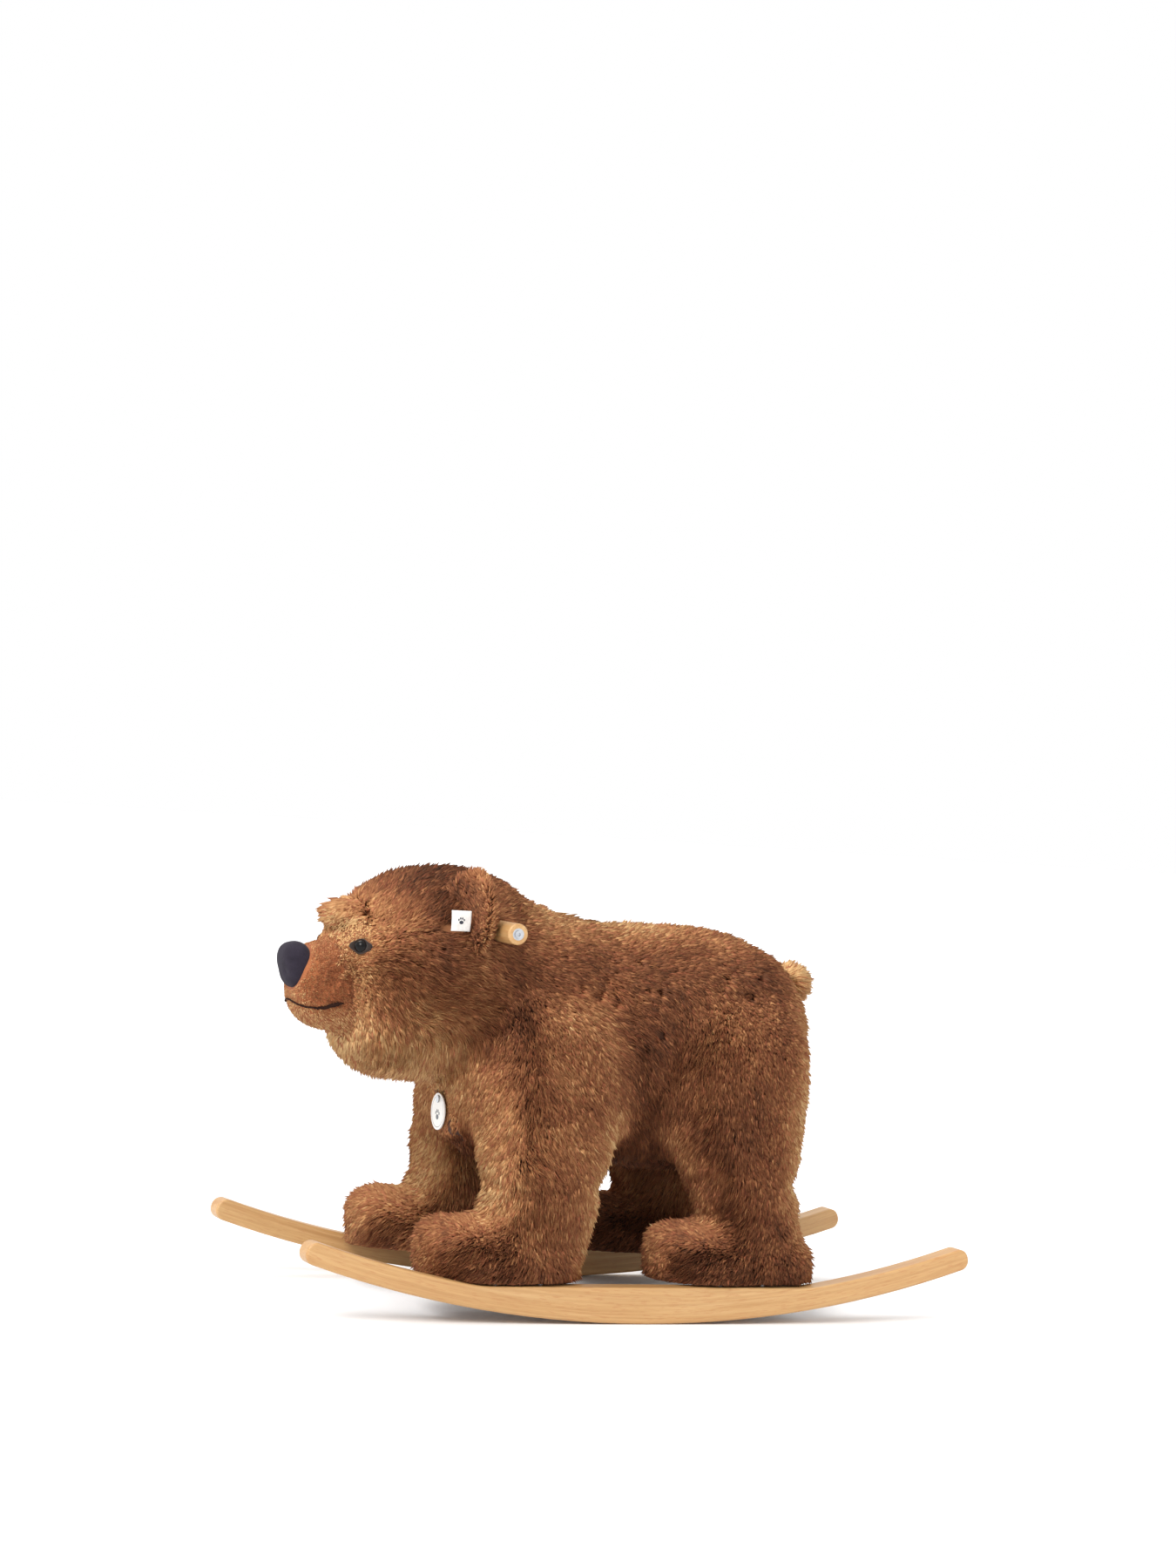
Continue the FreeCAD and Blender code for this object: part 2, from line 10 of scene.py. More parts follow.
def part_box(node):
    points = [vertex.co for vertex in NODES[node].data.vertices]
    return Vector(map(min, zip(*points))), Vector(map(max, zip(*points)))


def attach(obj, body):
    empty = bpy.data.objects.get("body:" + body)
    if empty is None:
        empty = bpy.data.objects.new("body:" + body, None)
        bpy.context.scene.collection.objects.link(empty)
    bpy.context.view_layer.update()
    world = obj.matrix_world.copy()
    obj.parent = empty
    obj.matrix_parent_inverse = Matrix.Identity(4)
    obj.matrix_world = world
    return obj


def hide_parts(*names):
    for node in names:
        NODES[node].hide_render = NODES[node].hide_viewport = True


# A plush bear that rocks on two beech runners. Metres, the frame's own axes: the bear faces -X,
# its left side is -Y. Sizes written as mm(...) are in millimetres.
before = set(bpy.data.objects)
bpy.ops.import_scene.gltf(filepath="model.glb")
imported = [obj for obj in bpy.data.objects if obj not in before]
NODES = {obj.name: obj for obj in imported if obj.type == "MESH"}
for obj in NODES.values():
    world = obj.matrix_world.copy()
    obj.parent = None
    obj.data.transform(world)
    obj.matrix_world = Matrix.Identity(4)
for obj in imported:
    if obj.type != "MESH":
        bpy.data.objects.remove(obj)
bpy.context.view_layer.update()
scene = bpy.context.scene
rng = np.random.default_rng(20)

SIDES = {"left": -1.0, "right": 1.0}
LIMBS = [(place, side) for place in ("front", "rear") for side in SIDES]


def mm(*values):
    return np.array(values, float) * 0.001


# ---- skin ----
VOXEL = 0.0065
SKIN_WALL = 0.003
LONG_DEPTH = 0.0010          # how far below the CAD surface the long pile's skin ends, once swollen
SHORT_DEPTH = 0.0030         # the same on the muzzle
HARD_DEPTH = 0.0008          # the same beside the eyes and the handle
LONG_SWELL = 0.0055          # how far the cloth may swell
SHORT_SWELL = 0.0025
SOLE_LEVEL = 0.0465          # the lowest skin
SOLE_EDGE = 0.0505           # skin below this is laid flat on the sole

# ---- fur ----
STRANDS_PER_PIECE = 33000
LONG_DENSITY, SHORT_DENSITY = 0.46e6, 0.95e6    # strands to the square metre
CLUMP = 0.010                # size of a tuft
FLOOR_OF_FUR = 0.0445        # no strand reaches lower

# ---- places, from the CAD ----
HANDLE_X, HANDLE_Z = -0.190, 0.448
EYE_AT = np.array((-0.346, 0.067, 0.420))
EYE_FACING = np.array((-0.64, 0.72, 0.24)) / np.linalg.norm((-0.64, 0.72, 0.24))
TAG_PIN = np.array((-0.210, 0.0, 0.238))
LABEL_AT = np.array((-0.2445, -0.122, 0.458))
NOSE_AT = mm(-402, 0, 391)
ROCKER_RADIUS = 1.36         # the grain of the runners follows it


def unit(v):
    return v / np.maximum(np.linalg.norm(v, axis=-1, keepdims=True), 1e-9)


def smoothstep(low, high, x):
    t = np.clip((x - low) / (high - low), 0, 1)
    return t * t * (3 - 2 * t)


def wobble(p, size, seed):
    """Smooth noise from -1 to 1, with features about `size` metres across."""
    waves, count = np.random.default_rng(seed), 7
    directions = unit(waves.normal(size=(count, 3)))
    phases, pace = waves.uniform(0, 2 * np.pi, count), waves.uniform(0.7, 1.6, count)
    total = np.zeros(len(p))
    for direction, phase, speed in zip(directions, phases, pace):
        total += np.sin((p @ direction) * speed * np.pi / size + phase)
    return np.clip(total / 3.2, -1, 1)


def folded(p):
    """The points with both sides of the bear laid on the side where Y is positive."""
    return np.stack([p[:, 0], np.abs(p[:, 1]), p[:, 2]], 1)


def from_handle(p):
    return np.hypot(p[:, 0] - HANDLE_X, p[:, 2] - HANDLE_Z)


def turned(p, degrees, first, second):
    """Points turned about the third axis, from axis number `first` towards `second`."""
    c, s = math.cos(math.radians(degrees)), math.sin(math.radians(degrees))
    q = p.copy()
    q[:, first] = p[:, first] * c - p[:, second] * s
    q[:, second] = p[:, first] * s + p[:, second] * c
    return q


# -------------------- meshes

def new_object(name, verts, faces, *materials, smooth=True):
    verts = np.ascontiguousarray(verts, np.float32)
    faces = np.ascontiguousarray(faces, np.int32)
    mesh = bpy.data.meshes.new(name)
    mesh.vertices.add(len(verts))
    mesh.vertices.foreach_set("co", verts.ravel())
    mesh.loops.add(faces.size)
    mesh.loops.foreach_set("vertex_index", faces.ravel())
    mesh.polygons.add(len(faces))
    mesh.polygons.foreach_set("loop_start", np.arange(0, faces.size, faces.shape[1], dtype=np.int32))
    mesh.update(calc_edges=True)
    mesh.polygons.foreach_set("use_smooth", np.full(len(faces), smooth))
    for material in materials:
        mesh.materials.append(material)
    obj = bpy.data.objects.new(name, mesh)
    scene.collection.objects.link(obj)
    return obj


def read_points(mesh):
    co = np.empty(len(mesh.vertices) * 3, np.float32)
    mesh.vertices.foreach_get("co", co)
    return co.reshape(-1, 3).astype(float)


def read_faces(mesh, corners):
    index = np.empty(len(mesh.loops), np.int32)
    mesh.loops.foreach_get("vertex_index", index)
    return index.reshape(-1, corners)


def triangles(name):
    mesh = NODES[name].data
    mesh.calc_loop_triangles()
    tri = np.empty(len(mesh.loop_triangles) * 3, np.int32)
    mesh.loop_triangles.foreach_get("vertices", tri)
    return read_points(mesh), tri.reshape(-1, 3)


def joined(parts):
    verts, faces, base = [], [], 0
    for v, f in parts:
        verts.append(v)
        faces.append(f + base)
        base += len(v)
    return np.concatenate(verts), np.concatenate(faces)


def apply_modifiers(obj):
    graph = bpy.context.evaluated_depsgraph_get()
    mesh = bpy.data.meshes.new_from_object(obj.evaluated_get(graph))
    obj.modifiers.clear()
    obj.data = mesh


def face_normals(p, faces):
    if faces.shape[1] == 4:
        return np.cross(p[faces[:, 2]] - p[faces[:, 0]], p[faces[:, 3]] - p[faces[:, 1]]) / 2
    return np.cross(p[faces[:, 1]] - p[faces[:, 0]], p[faces[:, 2]] - p[faces[:, 0]]) / 2


def vertex_normals(p, faces):
    normals = face_normals(p, faces)
    total = np.zeros_like(p)
    for axis in range(3):
        for corner in range(faces.shape[1]):
            total[:, axis] += np.bincount(faces[:, corner], normals[:, axis], len(p))
    return unit(total)


def averaged(values, faces, times):
    """Values evened out with their neighbours, `times` times."""
    one, other = faces.T.ravel(), np.roll(faces, -1, axis=1).T.ravel()
    flat = values.reshape(len(values), -1).astype(float)
    count = np.maximum(np.bincount(one, minlength=len(flat)) + np.bincount(other, minlength=len(flat)), 1)
    for _ in range(times):
        spread = np.empty_like(flat)
        for axis in range(flat.shape[1]):
            spread[:, axis] = (np.bincount(one, flat[other, axis], len(flat))
                               + np.bincount(other, flat[one, axis], len(flat))) / count
        flat = 0.5 * flat + 0.5 * spread
    return flat.reshape(values.shape)


def largest_part(p, faces):
    """Only the biggest connected part, which is the outside: hollows inside fall away."""
    label = np.arange(len(p))
    while True:
        low = label[faces].min(1)
        new = label.copy()
        for corner in range(faces.shape[1]):
            np.minimum.at(new, faces[:, corner], low)
        new = new[new]
        if np.array_equal(new, label):
            break
        label = new
    main = np.bincount(label).argmax()
    faces = faces[label[faces[:, 0]] == main]
    used = np.unique(faces)
    place = np.zeros(len(p), int)
    place[used] = np.arange(len(used))
    return p[used], place[faces]


def tube_along(points, radii, sides):
    """A closed tube through points, with a radius at each."""
    points = np.asarray(points, float)
    heading = unit(np.gradient(points, axis=0))
    across = unit(np.cross(heading, (0.13, 0.31, 0.94)))
    other = np.cross(heading, across)
    turn = np.linspace(0, 2 * np.pi, sides, endpoint=False)
    rings = (points[:, None] + np.asarray(radii)[:, None, None]
             * (np.cos(turn)[None, :, None] * across[:, None] + np.sin(turn)[None, :, None] * other[:, None]))
    verts = np.concatenate([rings.reshape(-1, 3), points[:1], points[-1:]])
    n, last = len(points), len(points) * sides
    faces = []
    for i in range(n - 1):
        for j in range(sides):
            a, b = i * sides + j, i * sides + (j + 1) % sides
            faces += [(a, b, b + sides), (a, b + sides, a + sides)]
    for j in range(sides):
        faces.append((last, (j + 1) % sides, j))
        faces.append((last + 1, last - sides + j, last - sides + (j + 1) % sides))
    return verts, np.array(faces)


def ball(rows, columns):
    """Directions on a sphere and the triangles between them, poles at +-Z."""
    polar = np.linspace(0, np.pi, rows + 1)[1:-1]
    turn = np.linspace(0, 2 * np.pi, columns, endpoint=False)
    grid = np.stack([np.sin(polar)[:, None] * np.cos(turn), np.sin(polar)[:, None] * np.sin(turn),
                     np.cos(polar)[:, None] * np.ones(columns)], -1).reshape(-1, 3)
    verts = np.concatenate([grid, [(0, 0, 1), (0, 0, -1)]])
    top, bottom = len(grid), len(grid) + 1
    faces = []
    for i in range(rows - 2):
        for j in range(columns):
            a, b = i * columns + j, i * columns + (j + 1) % columns
            faces += [(a, a + columns, b + columns), (a, b + columns, b)]
    base = (rows - 2) * columns
    for j in range(columns):
        faces.append((top, j, (j + 1) % columns))
        faces.append((bottom, base + (j + 1) % columns, base + j))
    return verts, np.array(faces)


# -------------------- materials

class Paint:
    """A Principled material and short ways to add nodes to it."""

    def __init__(self, name, roughness=0.6, **sockets):
        self.material = bpy.data.materials.new(name)
        self.material.use_nodes = True
        self.tree = self.material.node_tree
        self.shader = next(n for n in self.tree.nodes if n.type == "BSDF_PRINCIPLED")
        self.shader.inputs["Roughness"].default_value = roughness
        for key, value in sockets.items():
            self.shader.inputs[key.replace("_", " ")].default_value = value

    def node(self, kind, **settings):
        made = self.tree.nodes.new(kind)
        for key, value in settings.items():
            setattr(made, key, value)
        return made

    def link(self, source, target):
        self.tree.links.new(source, target)

    def place(self, scale=(1, 1, 1), source=None):
        mapping = self.node("ShaderNodeMapping")
        mapping.inputs["Scale"].default_value = scale
        if source is None:
            source = self.node("ShaderNodeTexCoord").outputs["Object"]
        self.link(source, mapping.inputs["Vector"])
        return mapping.outputs["Vector"]

    def axes(self):
        """The object's own X, Y and Z, as separate outputs."""
        coords = self.node("ShaderNodeTexCoord").outputs["Object"]
        split = self.node("ShaderNodeSeparateXYZ")
        self.link(coords, split.inputs[0])
        return split.outputs

    def noise(self, where, scale, detail=4.0, rough=0.55, distortion=0.0):
        made = self.node("ShaderNodeTexNoise")
        made.inputs["Scale"].default_value = scale
        made.inputs["Detail"].default_value = detail
        made.inputs["Roughness"].default_value = rough
        made.inputs["Distortion"].default_value = distortion
        self.link(where, made.inputs["Vector"])
        return made.outputs["Fac"]

    def ramp(self, fac, *stops):
        made = self.node("ShaderNodeValToRGB")
        elements = made.color_ramp.elements
        while len(elements) < len(stops):
            elements.new(0.5)
        for element, (position, colour) in zip(elements, stops):
            element.position = position
            element.color = (*colour, 1.0)
        self.link(fac, made.inputs["Fac"])
        return made.outputs["Color"]

    def math(self, operation, *values):
        made = self.node("ShaderNodeMath", operation=operation)
        for socket, value in zip(made.inputs, values):
            if isinstance(value, (int, float)):
                socket.default_value = value
            else:
                self.link(value, socket)
        return made.outputs[0]

    def length(self, u, v):
        return self.math("SQRT", self.math("ADD", self.math("MULTIPLY", u, u), self.math("MULTIPLY", v, v)))

    def mix(self, fac, first, second, blend="MIX"):
        made = self.node("ShaderNodeMix", data_type="RGBA", blend_type=blend)
        for socket, value in ((made.inputs[0], fac), (made.inputs[6], first), (made.inputs[7], second)):
            if isinstance(value, (int, float)):
                socket.default_value = value
            elif isinstance(value, tuple):
                socket.default_value = (*value, 1.0)
            else:
                self.link(value, socket)
        return made.outputs[2]

    def colour(self, socket):
        self.link(socket, self.shader.inputs["Base Color"])

    def rough(self, fac, low, high):
        made = self.node("ShaderNodeMapRange")
        made.inputs["To Min"].default_value = low
        made.inputs["To Max"].default_value = high
        self.link(fac, made.inputs["Value"])
        self.link(made.outputs[0], self.shader.inputs["Roughness"])

    def bump(self, height, strength, distance):
        made = self.node("ShaderNodeBump")
        made.inputs["Strength"].default_value = strength
        made.inputs["Distance"].default_value = distance
        self.link(height, made.inputs["Height"])
        self.link(made.outputs["Normal"], self.shader.inputs["Normal"])


def rgb(r, g, b):
    """A screen colour from 0 to 255 as a linear one."""
    return tuple((c / 12.92 if c <= 0.04045 else ((c + 0.055) / 1.055) ** 2.4)
                 for c in (r / 255, g / 255, b / 255))


def beech(name, along):
    """Steamed beech under clear lacquer: faint bands, and short dark flecks along the grain."""
    paint = Paint(name, 0.42, Coat_Weight=0.12, Coat_Roughness=0.25)
    coords = None
    if along == "curve":
        axes = paint.axes()
        drop = paint.math("SUBTRACT", ROCKER_RADIUS, axes["Z"])
        turn = paint.math("ARCTAN2", axes["X"], drop)
        merge = paint.node("ShaderNodeCombineXYZ")
        paint.link(paint.math("MULTIPLY", turn, ROCKER_RADIUS), merge.inputs[0])
        paint.link(axes["Y"], merge.inputs[1])
        paint.link(paint.length(drop, axes["X"]), merge.inputs[2])
        coords = merge.outputs[0]
        stretch = ((3.5, 34, 95), (70, 420, 620), (9, 240, 420))
    else:
        stretch = ((95, 3.5, 95), (620, 70, 620), (420, 9, 420))
    bands = paint.noise(paint.place(stretch[0], coords), 1.0, 5, 0.6, 0.6)
    flecks = paint.noise(paint.place(stretch[1], coords), 1.0, 2, 0.5)
    fine = paint.noise(paint.place(stretch[2], coords), 1.0, 3, 0.6)
    base = paint.ramp(bands, (0.25, rgb(179, 133, 82)), (0.5, rgb(194, 152, 99)),
                      (0.78, rgb(206, 169, 118)))
    marks = paint.ramp(flecks, (0.55, (0, 0, 0)), (0.68, (1, 1, 1)))
    lines = paint.ramp(fine, (0.3, rgb(214, 196, 176)), (0.7, rgb(255, 255, 255)))
    toned = paint.mix(0.55, base, lines, "MULTIPLY")
    paint.colour(paint.mix(paint.math("MULTIPLY", marks, 0.42), toned, rgb(170, 112, 66)))
    paint.rough(fine, 0.34, 0.52)
    paint.bump(paint.math("ADD", fine, paint.math("MULTIPLY", marks, -0.5)), 0.12, 0.0004)
    return paint.material


def metal(name, dark, light, low, high, metallic=1.0):
    paint = Paint(name, 0.4, Metallic=metallic)
    cloud = paint.noise(paint.place(), 90, 5)
    scratch = paint.noise(paint.place((900, 40, 900)), 1.0, 3)
    paint.colour(paint.ramp(cloud, (0.3, dark), (0.7, light)))
    paint.rough(scratch, low, high)
    paint.bump(scratch, 0.08, 0.0002)
    return paint.material


def felt(name, dark, light, scale, roughness=0.9, sheen=0.1, gloss=0.3):
    paint = Paint(name, roughness, Sheen_Weight=sheen, Sheen_Roughness=0.5, Specular_IOR_Level=gloss)
    fibre = paint.noise(paint.place(), scale, 6, 0.7, 1.5)
    patch = paint.noise(paint.place(), scale / 18, 3)
    both = paint.math("ADD", paint.math("MULTIPLY", fibre, 0.7), paint.math("MULTIPLY", patch, 0.3))
    paint.colour(paint.ramp(both, (0.36, dark), (0.64, light)))
    paint.bump(fibre, 0.5, 0.0006)
    return paint.material


def woven(name, base, thread, motif):
    """A plain weave; motif adds generic dark figures."""
    thread_pitch = 0.0006
    paint = Paint(name, 0.75, Sheen_Weight=0.15)
    axes = paint.axes()
    warp = paint.math("SINE", paint.math("MULTIPLY", axes["X"], 2 * math.pi / thread_pitch))
    weft = paint.math("SINE", paint.math("MULTIPLY", axes["Z"], 2 * math.pi / thread_pitch))
    weave = paint.math("MULTIPLY", warp, weft)
    soil = paint.noise(paint.place(), 160, 4)
    cloth = paint.ramp(soil, (0.3, base), (0.7, thread))
    paint.colour(paint.mix(motif(paint, axes), cloth, rgb(52, 54, 66)))
    paint.bump(weave, 0.35, 0.0003)
    return paint.material


def rounded_mask(paint, a, b, centre, half):
    """1 inside an ellipse of the given half sizes, 0 outside, with a soft edge."""
    u = paint.math("DIVIDE", paint.math("SUBTRACT", a, centre[0]), half[0])
    v = paint.math("DIVIDE", paint.math("SUBTRACT", b, centre[1]), half[1])
    past_rim = paint.math("MULTIPLY", paint.math("SUBTRACT", paint.length(u, v), 0.9), 6.0)
    outside = paint.math("SMOOTH_MIN", 1.0, paint.math("MAXIMUM", 0.0, past_rim), 0.05)
    return paint.math("SUBTRACT", 1.0, outside)


def paw_motif(centre, size, axis):
    """A generic paw print: one pad and four toes."""
    pads = [((0, -0.25), (0.42, 0.32)), ((-0.52, 0.18), (0.15, 0.2)), ((-0.19, 0.42), (0.15, 0.22)),
            ((0.19, 0.42), (0.15, 0.22)), ((0.52, 0.18), (0.15, 0.2))]

    def figure(paint, axes):
        total = None
        for (u, v), (hu, hv) in pads:
            mask = rounded_mask(paint, axes[axis], axes["Z"],
                                (centre[0] + u * size, centre[1] + v * size), (hu * size, hv * size))
            total = mask if total is None else paint.math("MAXIMUM", total, mask)
        return total
    return figure


SHADES = [rgb(*c) for c in ((66, 41, 30), (89, 56, 39), (112, 71, 49), (135, 86, 58), (156, 101, 67),
                            (175, 119, 79), (194, 139, 93), (211, 160, 109), (228, 185, 131))]
WARM_SHADES = [rgb(*c) for c in ((122, 70, 48), (154, 93, 64), (184, 120, 84))]


def fur_materials(prefix, shades):
    made = []
    for index, shade in enumerate(shades):
        paint = Paint("%s_%d" % (prefix, index), 0.7, Specular_IOR_Level=0.12)
        paint.shader.inputs["Base Color"].default_value = (*shade, 1.0)
        made.append(paint.material)
    return made


FUR = fur_materials("pile", SHADES + WARM_SHADES)
WARM = len(SHADES)
# Darker than the pile, so the gaps between strands read as depth: painted shade.
BACKING = felt("plush_backing", rgb(52, 32, 23), rgb(92, 57, 38), 700)
SHORT_BACKING = felt("short_plush_backing", rgb(134, 74, 44), rgb(176, 108, 66), 900)
FACE_BACKING = felt("face_backing", rgb(118, 74, 47), rgb(160, 106, 68), 800)
EAR_BACKING = felt("ear_backing", rgb(84, 52, 34), rgb(126, 80, 50), 800)
VELOUR = felt("nose_velour", rgb(30, 26, 34), rgb(54, 48, 60), 1500, 0.95, 0.04, 0.15)
THREAD = felt("dark_thread", rgb(26, 14, 10), rgb(50, 29, 21), 2600, 0.85, 0.0, 0.1)
RIM_FELT = felt("eye_rim_felt", rgb(26, 18, 15), rgb(52, 36, 28), 2200, 0.85, 0.2)
SOLE = felt("sole_felt", rgb(66, 44, 32), rgb(98, 68, 48), 900)
WADDING = felt("wadding", rgb(222, 218, 208), rgb(244, 242, 236), 260, 0.95, 0.1)
BEECH = beech("beech_runner", "curve")
BEECH_GRIP = beech("beech_grip", "side")
STEEL = metal("frame_steel", rgb(40, 42, 45), rgb(58, 60, 64), 0.45, 0.62, 0.0)
ZINC = metal("zinc", rgb(170, 172, 176), rgb(206, 208, 212), 0.22, 0.42)


def eye_material():
    paint = Paint("eye_gloss", 0.18, IOR=1.3)
    cloud = paint.noise(paint.place(), 240, 3)
    paint.colour(paint.ramp(cloud, (0.35, rgb(6, 5, 6)), (0.7, rgb(20, 14, 12))))
    return paint.material


def plastic_material():
    paint = Paint("lock_plastic", 0.45)
    cloud = paint.noise(paint.place(), 500, 3)
    paint.colour(paint.ramp(cloud, (0.3, rgb(222, 222, 218)), (0.7, rgb(238, 238, 234))))
    paint.bump(cloud, 0.1, 0.0002)
    return paint.material


def tag_material():
    """White card: a thin ring near the rim and a generic paw print."""
    card_middle_z, ring_radius, ring_half_width = 0.223, 0.0188, 0.0004
    paint = Paint("tag_card", 0.38, Coat_Weight=0.25, Coat_Roughness=0.2)
    axes = paint.axes()
    r = paint.length(axes["Y"], paint.math("SUBTRACT", axes["Z"], card_middle_z))
    from_ring = paint.math("ABSOLUTE", paint.math("SUBTRACT", r, ring_radius))
    ring = paint.math("LESS_THAN", from_ring, ring_half_width)
    paw = paw_motif((0.0, card_middle_z - 0.004), 0.0105, "Y")(paint, axes)
    fibre = paint.noise(paint.place(), 900, 5)
    card = paint.ramp(fibre, (0.3, rgb(232, 228, 222)), (0.7, rgb(247, 245, 240)))
    printed = paint.mix(paw, card, rgb(44, 50, 62))
    paint.colour(paint.mix(ring, printed, rgb(120, 116, 112)))
    paint.bump(fibre, 0.06, 0.0002)
    return paint.material


def dress(names, material):
    for name in names:
        mesh = NODES[name].data
        mesh.materials.clear()
        mesh.materials.append(material)


dress(["left_rocker", "right_rocker"], BEECH)
dress(["left_grip", "right_grip"], BEECH_GRIP)
dress([n for n in NODES if n.endswith(("_tube", "_bar", "_foot_plate"))], STEEL)
dress(["rocker_bolts", "rocker_washers", "weld_nuts", "grip_washers", "grip_screws", "tag_pin"], ZINC)
dress([n for n in NODES if n.endswith("_sole")], SOLE)
dress([n for n in NODES if n.endswith("_filling")], WADDING)
dress(["eye_lock_washers"], plastic_material())
dress(["left_eye", "right_eye"], eye_material())
dress(["chest_tag"], tag_material())
dress([n for n in NODES if n.endswith("_cover")], BACKING)


# -------------------- skin

REGIONS = {"torso": ["torso_cover", "torso_filling"], "head": ["head_cover", "head_filling"],
           "muzzle": ["muzzle_cover", "muzzle_filling"]}
for place, side in LIMBS:
    stem = "%s_%s_" % (place, side)
    REGIONS[stem + "leg"] = [stem + "leg_cover", stem + "leg_filling"]
    REGIONS[stem + "paw"] = [stem + "paw_cover"]
REGION_NAMES = list(REGIONS)
MUZZLE = REGION_NAMES.index("muzzle")


def plugs():
    """Blocks that close the bores of handle and feet, so that only the outside is left as skin."""
    parts = []
    handle = np.array([(HANDLE_X, y, HANDLE_Z) for y in np.linspace(-0.103, 0.103, 9)])
    parts.append(tube_along(handle, np.full(9, 0.017), 20))
    for place, side in LIMBS:
        low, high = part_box("%s_%s_foot_plate" % (place, side))
        y0, y1 = sorted((low.y, high.y))
        corners = np.array([(x, y, z) for x in (low.x - 0.003, high.x + 0.003)
                            for y in (y0 - 0.001, y1 - 0.002) for z in (0.046, 0.075)])
        parts.append((corners, np.array([(0, 1, 3), (0, 3, 2), (4, 6, 7), (4, 7, 5), (0, 4, 5), (0, 5, 1),
                                         (2, 3, 7), (2, 7, 6), (0, 2, 6), (0, 6, 4), (1, 5, 7), (1, 7, 3)])))
    return parts


def surface_samples(v, f, count, generator):
    area = np.linalg.norm(face_normals(v, f), axis=1)
    pick = generator.choice(len(f), count, p=area / area.sum())
    a, b = generator.random(count), generator.random(count)
    flip = a + b > 1
    a[flip], b[flip] = 1 - a[flip], 1 - b[flip]
    base, second, third = v[f[pick]].transpose(1, 0, 2)
    return base + a[:, None] * (second - base) + b[:, None] * (third - base)


def region_tree():
    """Points on every cover, to look up the nearest one, and the number of the region of each."""
    samples = 4000
    tree = KDTree(samples * len(REGION_NAMES))
    labels = []
    for number, name in enumerate(REGION_NAMES):
        for point in surface_samples(*triangles(REGIONS[name][0]), samples, np.random.default_rng(number)):
            tree.insert(point, len(labels))
            labels.append(number)
    tree.balance()
    return tree, np.array(labels)


def skin_shape():
    """The outside of all covers together, softened, with the region that each point belongs to."""
    solids = [triangles(node) for nodes in REGIONS.values() for node in nodes] + plugs()
    raw = new_object("raw_skin", *joined(solids))
    remesh = raw.modifiers.new("remesh", "REMESH")
    remesh.mode = "VOXEL"
    remesh.voxel_size = VOXEL
    apply_modifiers(raw)
    p, faces = largest_part(read_points(raw.data), read_faces(raw.data, 4))
    bpy.data.objects.remove(raw)
    tree, labels = region_tree()
    region = labels[[tree.find(point)[1] for point in p]]
    muzzle = (region == MUZZLE).astype(float)
    smooth = averaged(p, faces, 7)
    joint = np.zeros(len(p))
    joint[faces[(region[faces] != region[faces[:, :1]]).any(1)].ravel()] = 1
    joint *= (p[:, 2] > 0.075) & (region != MUZZLE)
    near_joint = np.clip(averaged(joint, faces, 60) * 5, 0, 1)[:, None]
    near_joint *= (0.55 * smoothstep(0.07, 0.10, p[:, 2]) + 0.45 * smoothstep(0.165, 0.21, p[:, 2]))[:, None]
    smooth = smooth + (averaged(smooth, faces, 70) - smooth) * near_joint
    short = averaged(muzzle, faces, 3)[:, None]
    return short * averaged(p, faces, 2) + (1 - short) * smooth, faces, region, short[:, 0]


def held_points(p, faces, region):
    """1 where the cloth is held: on soles, beside the hard parts, and on seams, save at the top of a leg."""
    held = np.zeros(len(p))
    mixed = (region[faces] != region[faces[:, :1]]).any(1)
    held[faces[mixed].ravel()] = 1
    held[p[:, 2] < 0.056] = 1
    leg = np.array([name.endswith("leg") for name in REGION_NAMES])[region]
    held[leg & (p[:, 2] > 0.20)] = 0
    held[np.linalg.norm(folded(p) - EYE_AT, axis=1) < 0.016] = 1
    held[from_handle(p) < 0.014] = 1
    return held


def swell(p, faces, held, reach):
    """Cloth cut with 4 % of ease, under light pressure and held in places. No point goes past its reach."""
    obj = new_object("swelling", p, faces)
    group = obj.vertex_groups.new(name="pins")
    group.add(np.nonzero(held)[0].tolist(), 1.0, "REPLACE")
    cloth = obj.modifiers.new("cloth", "CLOTH")
    settings = cloth.settings
    settings.quality = 4
    settings.mass = 0.003
    settings.shrink_min = -0.04
    settings.tension_stiffness = 5
    settings.compression_stiffness = 5
    settings.shear_stiffness = 1
    settings.bending_stiffness = 0.05
    settings.use_pressure = True
    settings.uniform_pressure_force = 4
    settings.vertex_group_mass = "pins"
    settings.effector_weights.gravity = 0
    cloth.collision_settings.use_collision = False
    cloth.collision_settings.use_self_collision = False
    for number in range(1, 21):
        scene.frame_set(number)
    apply_modifiers(obj)
    moved = read_points(obj.data) - p
    bpy.data.objects.remove(obj)
    scene.frame_set(1)
    length = np.linalg.norm(moved, axis=1)
    share = np.minimum(length, reach) / np.maximum(length, 1e-9)
    print("cloth moved a point by up to %.1f mm, median %.1f mm"
          % (1000 * length.max(), 1000 * np.median(length)))
    return p + averaged(moved * share[:, None], faces, 5)


